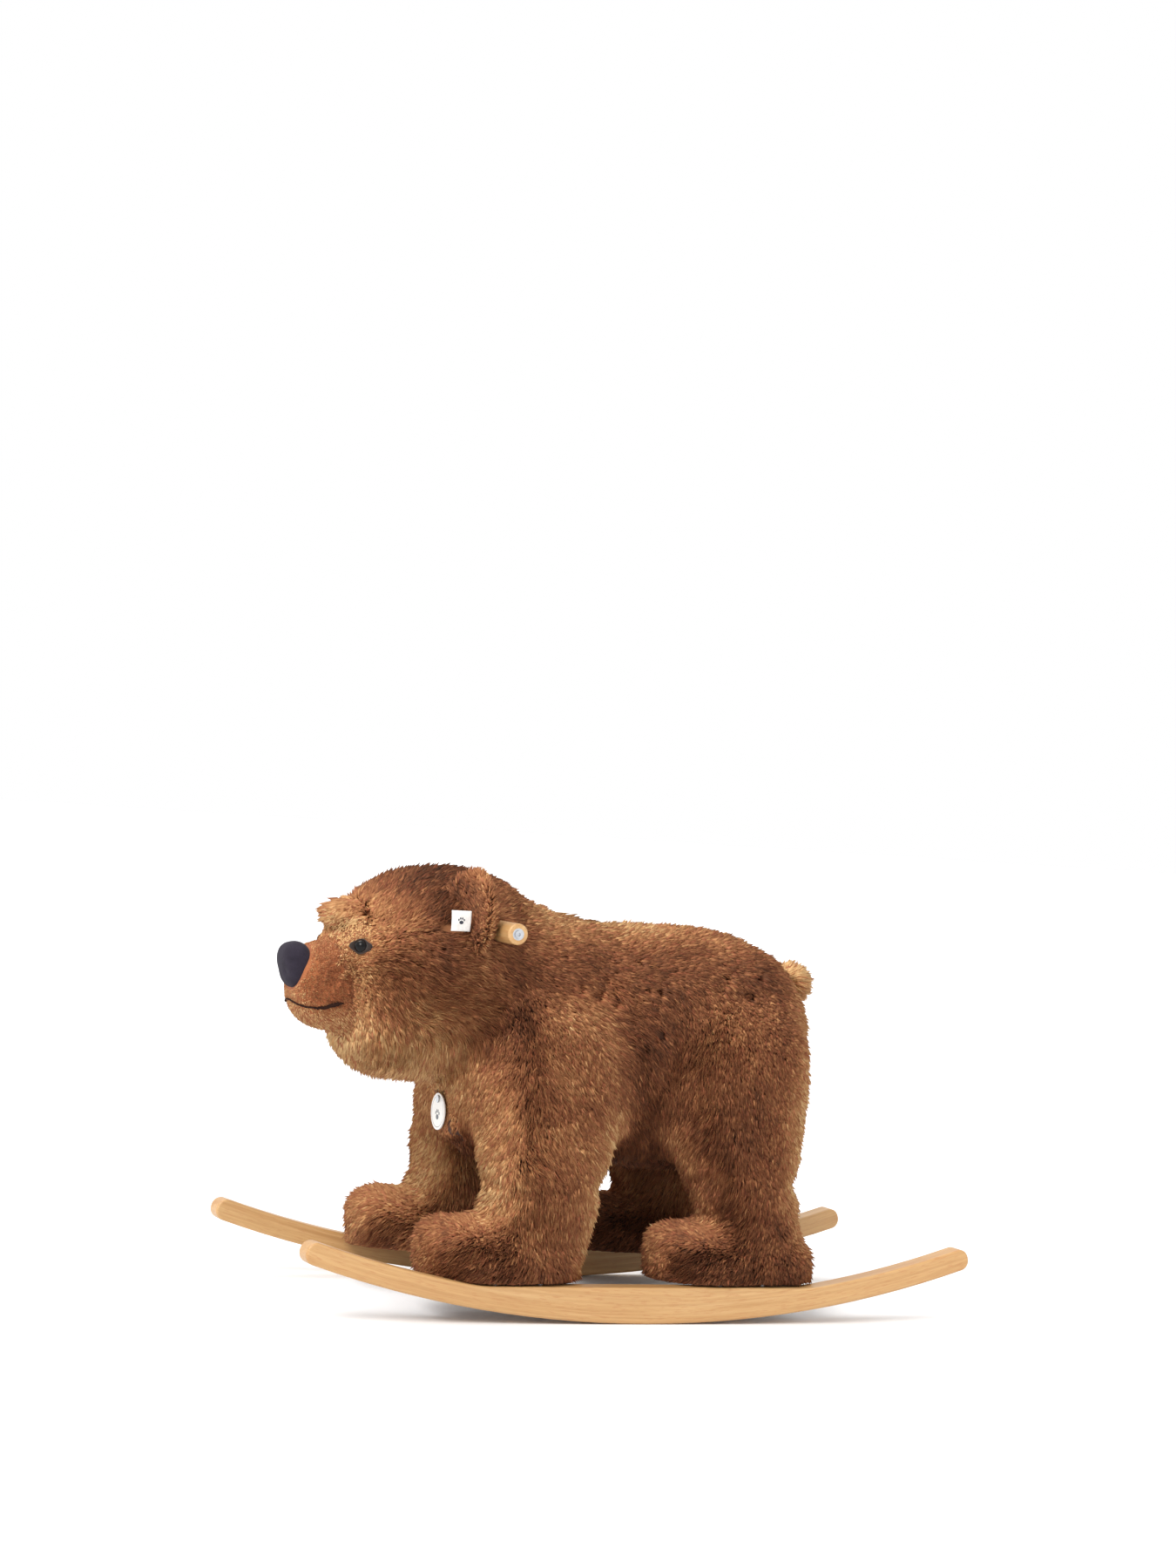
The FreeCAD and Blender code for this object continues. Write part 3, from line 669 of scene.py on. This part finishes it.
def make_skin():
    """The plush's skin: the smooth shape, sunk by the depth and the reach of the cloth, then swollen out."""
    p, faces, region, short = skin_shape()
    depth = short * SHORT_DEPTH + (1 - short) * LONG_DEPTH
    reach = short * SHORT_SWELL + (1 - short) * LONG_SWELL
    on_sole = smoothstep(0.062, 0.048, p[:, 2])
    normals = vertex_normals(p, faces)
    under = smoothstep(-0.2, -0.8, normals[:, 2]) + smoothstep(0.5, 0.9, normals[:, 0])
    depth = depth + 0.0055 * (1 - short) * np.clip(under, 0, 1) * smoothstep(0.13, 0.17, p[:, 2])
    from_eye = np.linalg.norm(folded(p) - EYE_AT, axis=1)
    away = smoothstep(0.018, 0.036, from_eye) * smoothstep(0.018, 0.034, from_handle(p))
    depth = HARD_DEPTH + (depth - HARD_DEPTH) * away
    reach = reach * away
    start = p - normals * ((depth + reach) * (1 - 0.97 * on_sole))[:, None]
    start = averaged(start, faces, 1)
    start[:, 2] = np.maximum(start[:, 2], SOLE_LEVEL)
    start[p[:, 2] < SOLE_EDGE, 2] = SOLE_LEVEL
    held = held_points(p, faces, region)
    skin = swell(start, faces, held, reach)
    skin[:, 2] = np.maximum(skin[:, 2], SOLE_LEVEL)
    return skin, faces, region


skin, skin_faces, skin_region = make_skin()
skin_normals = vertex_normals(skin, skin_faces)
face_region = skin_region[skin_faces[:, 0]]
print("skin:", len(skin), "points")


def build_panel(name, number):
    """One sewn cover, closed by a wall of its own thickness."""
    faces = skin_faces[face_region == number]
    used = np.unique(faces)
    place = np.zeros(len(skin), int)
    place[used] = np.arange(len(used))
    obj = new_object(name + "_plush", skin[used], place[faces])
    solid = obj.modifiers.new("wall", "SOLIDIFY")
    solid.thickness = SKIN_WALL
    solid.offset = -1
    solid.use_rim = True
    apply_modifiers(obj)
    obj.data.materials.append({"muzzle": SHORT_BACKING, "head": FACE_BACKING}.get(name, BACKING))
    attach(obj, "bear")
    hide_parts(*REGIONS[name])


for number, name in enumerate(REGION_NAMES):
    build_panel(name, number)


# -------------------- mouth

SKIN_BVH = BVHTree.FromPolygons(skin.tolist(), skin_faces.tolist())


def on_skin(point, lift):
    place, normal, _, _ = SKIN_BVH.find_nearest(Vector(point))
    return np.array(place + normal * lift)


def spline(points, count):
    """A smooth line through points, by Catmull-Rom."""
    q = np.array([2 * points[0] - points[1], *points, 2 * points[-1] - points[-2]])
    out = []
    for t in np.linspace(0, len(points) - 1 - 1e-6, count):
        k, u = int(t), t - int(t)
        a, b, c, d = q[k:k + 4]
        out.append(0.5 * (2 * b + (c - a) * u + (2 * a - 5 * b + 4 * c - d) * u * u
                          + (3 * b - a - 3 * c + d) * u ** 3))
    return np.array(out)


def build_mouth():
    """Two threads twisted round the mouth's line. Returns the line, which the pile leaves free."""
    half = [mm(-410, 0, 350), mm(-405, -22, 346), mm(-391, -46, 340), mm(-376, -58, 341), mm(-362, -64, 348)]
    full = [p * (1, -1, 1) for p in half[:0:-1]] + half
    line = np.array([on_skin(p, 0.0026) for p in spline(full, 72)])
    share = np.abs(np.linspace(-1, 1, len(line)))
    width = mm(1) * (1.0 + 1.3 * smoothstep(0.35, 0.85, share)) * (1 - 0.6 * smoothstep(0.93, 1.0, share))
    strands = []
    for phase in (0.0, np.pi):
        turn = np.linspace(0, 34 * np.pi, len(line)) + phase
        offset = np.stack([0 * turn, 0 * turn, np.sin(turn)], 1) * width[:, None] * 0.45
        strands.append(tube_along(line + offset, width * 0.8, 8))
    obj = new_object("mouth_thread", *joined(strands), THREAD)
    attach(obj, "bear")
    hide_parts("mouth_stitch")
    return line


MOUTH_LINE = build_mouth()


# -------------------- fur

def scatter(p, faces, density, generator, *values):
    """Points on quads or triangles, `density` to the square metre, and the values there."""
    weight = np.linalg.norm(face_normals(p, faces), axis=1)
    count = int(weight.sum() * density)
    pick = faces[generator.choice(len(faces), count, p=weight / weight.sum())]
    a, b = generator.random((2, count, 1))
    if faces.shape[1] == 4:
        share = [(1 - a) * (1 - b), a * (1 - b), a * b, (1 - a) * b]
    else:
        flip = a + b > 1
        a, b = np.where(flip, 1 - a, a), np.where(flip, 1 - b, b)
        share = [1 - a - b, a, b]
    return [sum(s * value[pick[:, k]] for k, s in enumerate(share)) for value in (p, *values)]


def comb_direction(p, name):
    """Which way the pile is brushed, before it is laid on the surface."""
    x, y, z = p.T
    back = np.zeros_like(p)
    if name == "torso":
        side = smoothstep(0.46, 0.32, z)
        rear = smoothstep(-0.02, 0.10, x)
        back[:, 0] = (1 - side) * 1.0 + side * (0.55 * (1 - rear) - 0.30 * rear)
        back[:, 2] = -(1 - side) * 0.15 - side * 0.85
        back[:, 1] = (1 - side) * 0.5 * np.sign(y)
    elif name == "head":
        back = unit(p - (-0.40, 0, 0.385)) + np.array((0.25, 0, -0.25))
        brow = smoothstep(-0.315, -0.345, x) * smoothstep(0.425, 0.45, z)
        back = back * (1 - brow)[:, None] + np.array((-1.0, 0, -0.15)) * brow[:, None]
        jaw = smoothstep(0.345, 0.31, z)
        back = back * (1 - jaw)[:, None] + np.array((-0.15, 0, -1.0)) * jaw[:, None]
        crown = smoothstep(0.47, 0.50, z)[:, None]
        back = back * (1 - crown) + np.array((0.7, 0, 0.5)) * crown
    elif name == "muzzle":
        back = np.array((1.0, 0, -0.25)) + 0 * p
    elif name.endswith("leg"):
        lean = 0.22 if name.startswith("front") else -0.28
        back = np.array((lean, 0, -1.0)) + 0 * p
        back[:, 0] -= smoothstep(0.14, 0.10, z) * 0.5
    else:
        low, high = p.min(0), p.max(0)
        toe = smoothstep(high[0] - 0.02, low[0] + 0.05, x)
        back[:, 0] = -0.95 * toe - 0.1
        back[:, 2] = -0.55 - 0.5 * (1 - toe)
    return back


def tone_with_painted_light(p, n, name):
    """How light the pile of a region is, from 0 to 1, before it is blended with its neighbours. Much of it is
    painted light and shade, as noted below.
    """
    x, y, z = p.T
    if name == "muzzle":
        tone = 0.60 + 0.06 * wobble(p, 0.03, 3)
        tone += 0.24 * smoothstep(-0.375, -0.405, x) + 0.50 * smoothstep(0.355, 0.330, z)
        return tone + 0.22 * smoothstep(0.412, 0.428, z)
    # Painted light and shade: lighter where the pile faces up, forward or backward, darker where it faces
    # down.
    tone = 0.46 + 0.09 * smoothstep(0.1, 0.9, n[:, 2]) - 0.08 * smoothstep(-0.1, -0.9, n[:, 2])
    tone += 0.46 * smoothstep(0.35, 0.90, n[:, 0]) + 0.26 * smoothstep(-0.50, -0.95, n[:, 0])
    if name == "torso":
        # Painted highlight along the top of the back, with a darker band below it; a painted shade patch on
        # each flank; darker low on the body as painted shade.
        tone += 0.30 * smoothstep(0.425, 0.452, z)
        tone -= 0.10 * smoothstep(0.36, 0.41, z) * smoothstep(0.445, 0.42, z)
        flank_shade = np.exp(-((x - 0.075) / 0.09) ** 2 - ((z - 0.31) / 0.085) ** 2)
        tone -= 0.26 * flank_shade * (np.abs(y) > 0.06) + 0.07 * smoothstep(0.26, 0.19, z)
    if name == "head":
        # Head lighter overall and low down; darker on top as painted shade.
        tone += 0.15 - 0.40 * smoothstep(0.45, 0.50, z) + 0.26 * smoothstep(0.36, 0.31, z)
    if name.endswith("leg"):
        # Painted light: the inner side of each leg is lighter, against the shade it sits in. Front legs a
        # little lighter.
        tone += 0.16 * smoothstep(0.3, 0.9, -n[:, 1] * np.sign(y))
        tone += 0.09 if name.startswith("front") else 0.0
    if name.endswith("paw"):
        # Painted shade: paws darker near the floor. Rear paws darker.
        tone += 0.03 - 0.08 * smoothstep(0.075, 0.052, z) - (0.16 if name.startswith("rear") else 0.0)
    return tone


def bare_patch(p):
    """Distance from the thin, pale place under the brow."""
    return np.linalg.norm(np.abs(p) - mm(352, 45, 442), axis=1)


def fine_tone(p):
    """Small light and dark places, added where a strand stands: random tone, painted shadow in front of and
    behind each ear, and the pale place under the brow.
    """
    x, y, z = p.T
    tone = 0.10 * wobble(p, 0.11, 1) + 0.06 * wobble(p, 0.035, 2)
    wide = np.abs(y) > 0.07
    # Painted shadow on the head behind each ear.
    tone -= 0.34 * wide * np.exp(-((x + 0.170) / 0.032) ** 2 - ((z - 0.42) / 0.07) ** 2)
    # Painted shadow on the head in front of each ear.
    tone -= 0.28 * wide * np.exp(-((x + 0.262) / 0.020) ** 2 - ((z - 0.445) / 0.06) ** 2)
    return tone + 0.38 * smoothstep(0.026, 0.012, bare_patch(p)) * (x < 0)


def pile_fields():
    """Brushing and tone at each point of the skin. Only the muzzle's short pile ends at its seam."""
    fields = np.zeros((len(skin), 4))
    for number, name in enumerate(REGION_NAMES):
        chosen = skin_region == number
        p, n = skin[chosen], skin_normals[chosen]
        fields[chosen] = np.column_stack([unit(comb_direction(p, name)), tone_with_painted_light(p, n, name)])
    long_faces = skin_faces[(skin_region[skin_faces] != MUZZLE).all(1)]
    inner = np.zeros(len(skin), bool)
    inner[long_faces.ravel()] = True
    return np.where(inner[:, None], averaged(fields, long_faces, 26), fields)


def keep_clear(root, middle, tip):
    """False for strands that would cross the eyes, the nose, the handle, the label or the tag."""
    keep = np.ones(len(root), bool)
    for q in (root, middle, tip):
        eye = folded(q) - EYE_AT
        out = eye @ EYE_FACING
        aside = np.linalg.norm(eye - out[:, None] * EYE_FACING, axis=1)
        keep &= ~((aside < 0.0098) & (np.abs(out) < 0.03))
        keep &= ~((from_handle(q) < 0.0135) & (np.abs(q[:, 1]) > 0.105))
        label = np.abs(q - (LABEL_AT + mm(0, 2, 0))) < mm(14.0, 16.0, 13.5)
        keep &= ~label.all(1)
        nose = (q - NOSE_AT) / mm(21.5, 34, 30)
        keep &= (nose ** 2).sum(1) > 1.0
        reach = np.hypot(q[:, 1] - TAG_PIN[1], q[:, 2] - TAG_PIN[2])
        keep &= ~((q[:, 0] < -0.2065) & (reach < 0.042) & (q[:, 2] < TAG_PIN[2] + 0.010) & (q[:, 0] > -0.235))
    return keep


def lay_strands(p, n, back, generator, length, lift, spread):
    """Middles and tips of bent strands, gathered in small tufts, and how light each one's tuft is."""
    count = len(p)
    swirl = np.stack([wobble(p, 0.05, k) for k in (11, 12, 13)], 1) * 0.35
    loose = generator.normal(size=(count, 3)) * 0.22
    back = unit(back) + swirl + loose
    flat = unit(back - (back * n).sum(1)[:, None] * n)
    angle = np.radians(np.clip(generator.normal(lift, 9, count), 6, 84))[:, None]
    first = unit(flat * np.cos(angle + 0.22) + n * np.sin(angle + 0.22))
    second = unit(flat * np.cos(angle - 0.25) + n * np.sin(angle - 0.25) - (0, 0, 0.10))
    size = (length * np.clip(generator.normal(1.0, 0.16, count), 0.55, 1.4))[:, None]
    middle = p + first * size * 0.5
    tip = middle + second * size * 0.5
    warp = np.stack([wobble(p, 0.02, k) for k in (21, 22, 23)], 1) * CLUMP * 0.5
    cell = np.floor((p + warp) / CLUMP).astype(np.int64)
    key = (cell[:, 0] * 73856093) ^ (cell[:, 1] * 19349663) ^ (cell[:, 2] * 83492791)
    _, tuft = np.unique(key, return_inverse=True)
    many = np.bincount(tuft)
    centre = np.stack([np.bincount(tuft, tip[:, k]) / many for k in range(3)], 1)
    pull = (spread * np.clip(generator.normal(1, 0.3, len(many)), 0.2, 1.6)[tuft])[:, None]
    tip = tip + (centre[tuft] - tip) * pull
    middle = middle + (centre[tuft] - middle) * pull * 0.15
    tuft_tone = generator.normal(size=len(many))[tuft]
    return middle, tip, tuft_tone


def strand_mesh(name, root, middle, tip, n, width, slots):
    """Closed, bent, three-sided spikes: five points and six faces each."""
    along = unit(tip - root)
    side = unit(np.cross(n, along) + rng.normal(size=root.shape) * 0.35)
    side = unit(side - (side * along).sum(1)[:, None] * along)
    up = np.cross(along, side)
    w = width[:, None]
    verts = np.stack([root - side * w / 2, root + side * w / 2, root + up * w * 0.55,
                      middle + up * w * 0.25, tip], 1).reshape(-1, 3)
    pattern = np.array([(0, 2, 1), (0, 3, 2), (0, 4, 3), (1, 2, 3), (1, 3, 4), (0, 1, 4)])
    faces = (np.arange(len(root))[:, None, None] * 5 + pattern).reshape(-1, 3)
    obj = new_object(name, verts, faces, *FUR)
    obj.data.polygons.foreach_set("material_index", np.repeat(slots, 6).astype(np.int32))
    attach(obj, "bear")
    return obj


def shade_slots(tone, tuft_tone, generator, warm):
    value = tone + 0.045 * tuft_tone + generator.normal(size=len(tone)) * 0.10
    slot = np.clip(np.round(value * (len(SHADES) - 1)), 0, len(SHADES) - 1).astype(int)
    is_warm = generator.random(len(tone)) < warm
    warm_slot = np.clip(np.round((value - 0.25) * 4), 0, len(WARM_SHADES) - 1).astype(int)
    return np.where(is_warm, WARM + warm_slot, slot)


def grow(name, p, n, generator, length, lift, width, back, tone, warm=0.18, spread=0.26):
    """Strands from points p, in one piece or, where there are many, in several."""
    middle, tip, tuft_tone = lay_strands(p, n, back, generator, length, lift, spread)
    for q in (middle, tip):
        q[:, 2] = np.maximum(q[:, 2], FLOOR_OF_FUR + 0.002 * generator.random(len(q)))
    keep = keep_clear(p, middle, tip)
    slots = shade_slots(tone, tuft_tone, generator, warm)
    root = p - n * 0.0012
    data = [a[keep] for a in (root, middle, tip, n, width, slots)]
    pieces = max(1, math.ceil(len(data[0]) / STRANDS_PER_PIECE))
    order = np.argsort(data[0][:, 0] + 3 * (data[0][:, 1] > 0)) if pieces > 1 else np.arange(len(data[0]))
    for number, chunk in enumerate(np.array_split(order, pieces)):
        title = name if pieces == 1 else "%s_%d" % (name, number + 1)
        obj = strand_mesh(title, *[a[chunk] for a in data])
    print(name, len(data[0]), "strands in", pieces)


def region_fur(name, number):
    generator = np.random.default_rng(100 + number)
    faces = skin_faces[face_region == number]
    short = name == "muzzle"
    p, n, fields = scatter(skin, faces, SHORT_DENSITY if short else LONG_DENSITY, generator,
                           skin_normals, PILE_FIELDS)
    n = unit(n)
    keep = p[:, 2] > 0.0472
    if short:
        keep &= np.linalg.norm(p[:, None] - MOUTH_LINE, axis=2).min(1) > 0.0030
    p, n, fields = p[keep], n[keep], fields[keep]
    x, y, z = p.T
    if short:
        length = 0.0036 + 0.0050 * smoothstep(-0.365, -0.335, x) + 0.0030 * smoothstep(0.345, 0.325, z)
        grow(name + "_fur", p, n, generator, length, np.full(len(x), 34.0), np.full(len(x), 0.00075),
             fields[:, :3], fields[:, 3], 0.55, 0.15)
        return
    length = 0.0165 + 0.0012 * wobble(p, 0.04, 31)
    lift = 42 + 7 * wobble(p, 0.06, 32)
    face = smoothstep(-0.30, -0.345, x) * smoothstep(0.455, 0.435, z) * smoothstep(0.31, 0.34, z)
    brow = smoothstep(-0.325, -0.345, x) * smoothstep(0.440, 0.455, z)
    jaw = smoothstep(-0.25, -0.30, x) * smoothstep(0.345, 0.315, z)
    length = length * (1 - 0.45 * face) * (1 + 0.80 * brow) * (1 + 0.20 * jaw)
    lift = lift - 14 * face
    eye = np.linalg.norm(folded(p) - EYE_AT, axis=1)
    length = length * (0.60 + 0.40 * smoothstep(0.014, 0.034, eye))
    lift = lift - 10 * smoothstep(0.034, 0.014, eye)
    length = length * np.where(x < 0, 0.55 + 0.45 * smoothstep(0.014, 0.028, bare_patch(p)), 1.0)
    near_tag = smoothstep(-0.175, -0.19, x) * smoothstep(0.055, 0.04, np.hypot(y, z - 0.222))
    length = length * (1 - 0.5 * near_tag)
    lift = lift - 26 * near_tag
    width = 0.00100 + 0.0002 * generator.random(len(x))
    grow(name + "_fur", p, n, generator, length, lift, width,
         fields[:, :3] + brow[:, None] * (-1.6, 0.0, -0.2), fields[:, 3] + fine_tone(p), 0.2,
         0.26 + 0.25 * jaw + 0.2 * brow)


PILE_FIELDS = pile_fields()
for number, name in enumerate(REGION_NAMES):
    region_fur(name, number)


# -------------------- ears and tail

def outside_skin(points):
    result = np.zeros(len(points), bool)
    for index, point in enumerate(points):
        place, normal, _, _ = SKIN_BVH.find_nearest(Vector(point))
        result[index] = (Vector(point) - place).dot(normal) >= -0.001
    return result


def small_fur(name, shape, faces, density, length, lift, root, drift, tone, seed):
    """Fur on a small closed shape, brushed away from its root with some drift."""
    generator = np.random.default_rng(seed)
    p, n = scatter(shape, faces, density, generator, vertex_normals(shape, faces))
    n = unit(n)
    outside = outside_skin(p)
    p, n = p[outside], n[outside]
    width = 0.00115 + 0.0002 * generator.random(len(p))
    grow(name, p, n, generator, np.full(len(p), length), np.full(len(p), lift), width,
         unit(p - root) + drift, tone(p, n))


def build_ear(side_name, side):
    """A stuffed, cupped ear: hollow in front, round behind. The right one lies a little lower."""
    lower = 9 if side > 0 else 0
    centre = mm(-226, 106 * side, 466 - lower)
    directions, faces = ball(30, 44)
    half = mm(8.5, 38.0, 46.0 - lower)
    p = directions[:, [2, 0, 1]] * half
    reach = (p[:, 1] / half[1]) ** 2 + (p[:, 2] / half[2]) ** 2
    hollow = np.clip(1 - reach, 0, 1)
    front = p[:, 0] < 0
    p[:, 0] += np.where(front, 0.0135, 0.0045) * hollow
    p[:, 0] -= 0.004 * (p[:, 1] / half[1]) ** 2
    p = turned(p, -20 * side, 0, 1) + centre
    obj = new_object(side_name + "_ear_plush", p, faces, EAR_BACKING)
    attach(obj, "bear")
    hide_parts(side_name + "_ear")

    def tone(q, n):
        rim = np.hypot((q[:, 1] - centre[1]) / half[1], (q[:, 2] - centre[2]) / half[2])
        # Lighter towards the ear's edge: a painted highlight.
        return 0.34 + 0.28 * smoothstep(0.66, 0.98, rim) + 0.08 * wobble(q, 0.03, 41)

    small_fur(side_name + "_ear_fur", p, faces, 0.42e6, 0.0125, 44.0, mm(-222, 84 * side, 425),
              (0, 0, 0.15), tone, 200 + int(side))


for side_name, side in SIDES.items():
    build_ear(side_name, side)


def build_tail():
    directions, faces = ball(20, 32)
    p = turned(directions * mm(19, 16, 14), 20, 2, 0) + mm(247, 0, 397)
    obj = new_object("tail_plush", p, faces, BACKING)
    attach(obj, "bear")
    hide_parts("tail")

    def tone(q, n):
        # Lighter where the tail faces up: painted light.
        return 0.95 + 0.10 * smoothstep(0.2, 0.9, n[:, 2]) + 0.08 * wobble(q, 0.02, 42)

    small_fur("tail_fur", p, faces, 0.55e6, 0.0165, 62.0, mm(228, 0, 400), (0.3, 0, -0.1), tone, 210)


build_tail()


# -------------------- nose, eye rims

def build_nose():
    """A velour cap with two shallow nostrils and a groove below."""
    directions, faces = ball(40, 64)
    d = directions[:, [2, 0, 1]]
    x, y, z = d.T
    half = mm(18.5, 31.5, 28.5)
    x, y, z = (np.sign(v) * np.abs(v) ** 0.80 for v in (x, y, z))
    p = np.stack([x * half[0], y * half[1] * (0.94 + 0.06 * z), z * half[2] * 0.97], 1)
    nostril = np.exp(-(((np.abs(y) - 0.46) / 0.17) ** 2 + ((z + 0.18) / 0.20) ** 2)) * (x < 0)
    groove = np.exp(-(y / 0.06) ** 2) * smoothstep(0.1, -0.3, z) * (x < 0)
    p *= (1 - 0.08 * nostril - 0.03 * groove)[:, None]
    obj = new_object("nose_velour_cap", turned(p, -12, 2, 0) + NOSE_AT, faces, VELOUR)
    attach(obj, "bear")
    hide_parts("nose")


build_nose()


def build_rims():
    """A stitched almond of dark felt behind each eye."""
    across = unit(np.cross((0, 0, 1), EYE_FACING))
    up = np.cross(EYE_FACING, across)
    sides = 96
    turn = np.linspace(0, 2 * np.pi, sides, endpoint=False)
    inner = np.full(sides, 0.0074)
    outer = mm(9.1) + mm(5.4) * np.abs(np.cos(turn)) ** 9
    section = [(inner, -0.0012), (inner, 0.0012), (outer - 0.0008, 0.0015), (outer, 0.0004), (outer, -0.0012)]
    rings = []
    for radius, height in section:
        rings.append(EYE_AT + radius[:, None] * (np.cos(turn)[:, None] * across + np.sin(turn)[:, None] * up)
                     + EYE_FACING * height)
    verts = np.concatenate(rings)
    faces = []
    for i in range(len(section)):
        ring, following = i * sides, (i + 1) % len(section) * sides
        for j in range(sides):
            beside = (j + 1) % sides
            faces.append((ring + j, ring + beside, following + beside, following + j))
    faces = np.array(faces)
    mirrored = verts * (1, -1, 1)
    obj = new_object("eye_rim_felts", *joined([(verts, faces), (mirrored, faces[:, ::-1])]), RIM_FELT)
    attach(obj, "bear")
    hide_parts("eye_rims")


build_rims()


# -------------------- label

def build_label():
    """A woven tab at the front edge of the left ear, slightly curled."""
    width, height, thick = 0.025, 0.024, 0.0008
    columns, rows = 18, 18
    u, v = np.meshgrid(np.linspace(-0.5, 0.5, columns), np.linspace(-0.5, 0.5, rows), indexing="ij")
    u, v = u.ravel(), v.ravel()
    curl = 0.0012 * np.sin(u * 3.0) + 0.0010 * (v * 2) ** 2 - 0.0009 * u * v * 4
    front = np.stack([u * width, curl - thick / 2, v * height], 1)
    behind = front + (0, thick, 0)
    verts = np.concatenate([front, behind]) + LABEL_AT
    n = columns * rows
    faces = []
    for i in range(columns - 1):
        for j in range(rows - 1):
            a = i * rows + j
            faces.append((a, a + rows, a + rows + 1, a + 1))
            faces.append((n + a, n + a + 1, n + a + rows + 1, n + a + rows))
    rim = ([i * rows for i in range(columns)] + [(columns - 1) * rows + j for j in range(1, rows)]
           + [i * rows + rows - 1 for i in range(columns - 2, -1, -1)] + list(range(rows - 2, 0, -1)))
    for a, b in zip(rim, rim[1:] + rim[:1]):
        faces.append((b, a, n + a, n + b))
    paw = paw_motif((LABEL_AT[0], LABEL_AT[2]), 0.0068, "X")
    cloth = woven("woven_label", rgb(226, 222, 216), rgb(246, 244, 240), paw)
    obj = new_object("woven_ear_label", verts, np.array(faces), cloth)
    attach(obj, "bear")
    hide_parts("ear_label")


build_label()


# -------------------- floor, light, camera

def build_stage():
    corners = np.array([(-30, -30, 0), (30, -30, 0), (30, 30, 0), (-30, 30, 0)], float) - (0, 0, 0.0003)
    paint = Paint("studio_floor", 0.75, Specular_IOR_Level=0.2)
    cloud = paint.noise(paint.place(), 3, 3)
    paint.colour(paint.ramp(cloud, (0.3, (0.90, 0.90, 0.90)), (0.7, (0.92, 0.92, 0.92))))
    floor = new_object("studio_floor", corners, np.array([(0, 1, 2, 3)]), paint.material, smooth=False)
    world = bpy.data.worlds.new("studio")
    world.use_nodes = True
    background = world.node_tree.nodes["Background"]
    background.inputs["Color"].default_value = (1, 1, 1, 1)
    background.inputs["Strength"].default_value = 1.0
    scene.world = world


def sun_light(name, towards, strength, spread):
    """Even light from one direction, as wide as a large soft box."""
    light = bpy.data.lights.new(name, "SUN")
    light.energy = strength
    light.angle = math.radians(spread)
    obj = bpy.data.objects.new(name, light)
    scene.collection.objects.link(obj)
    obj.rotation_euler = Vector(towards).to_track_quat("Z", "Y").to_euler()


def build_camera():
    aim = Vector((0.39728, 0.91770, -0.00123)).normalized()
    right = aim.cross(Vector((0, 0, 1))).normalized()
    up = right.cross(aim)
    roll = math.radians(4.066)
    x_axis = math.cos(roll) * right + math.sin(roll) * up
    y_axis = -math.sin(roll) * right + math.cos(roll) * up
    data = bpy.data.cameras.new("camera")
    data.lens = 77.04
    data.sensor_width = 36
    data.clip_end = 200
    camera = bpy.data.objects.new("camera", data)
    scene.collection.objects.link(camera)
    turn = Matrix((x_axis, y_axis, -aim)).transposed()
    camera.matrix_world = Matrix.Translation((-1.6667, -3.7474, 0.6317)) @ turn.to_4x4()
    scene.camera = camera


build_stage()
sun_light("key", (-1.05, -0.95, 1.30), 2.2, 30)
sun_light("rim", (-0.35, 0.65, 1.50), 0.8, 30)
build_camera()
scene.view_settings.view_transform = "Standard"
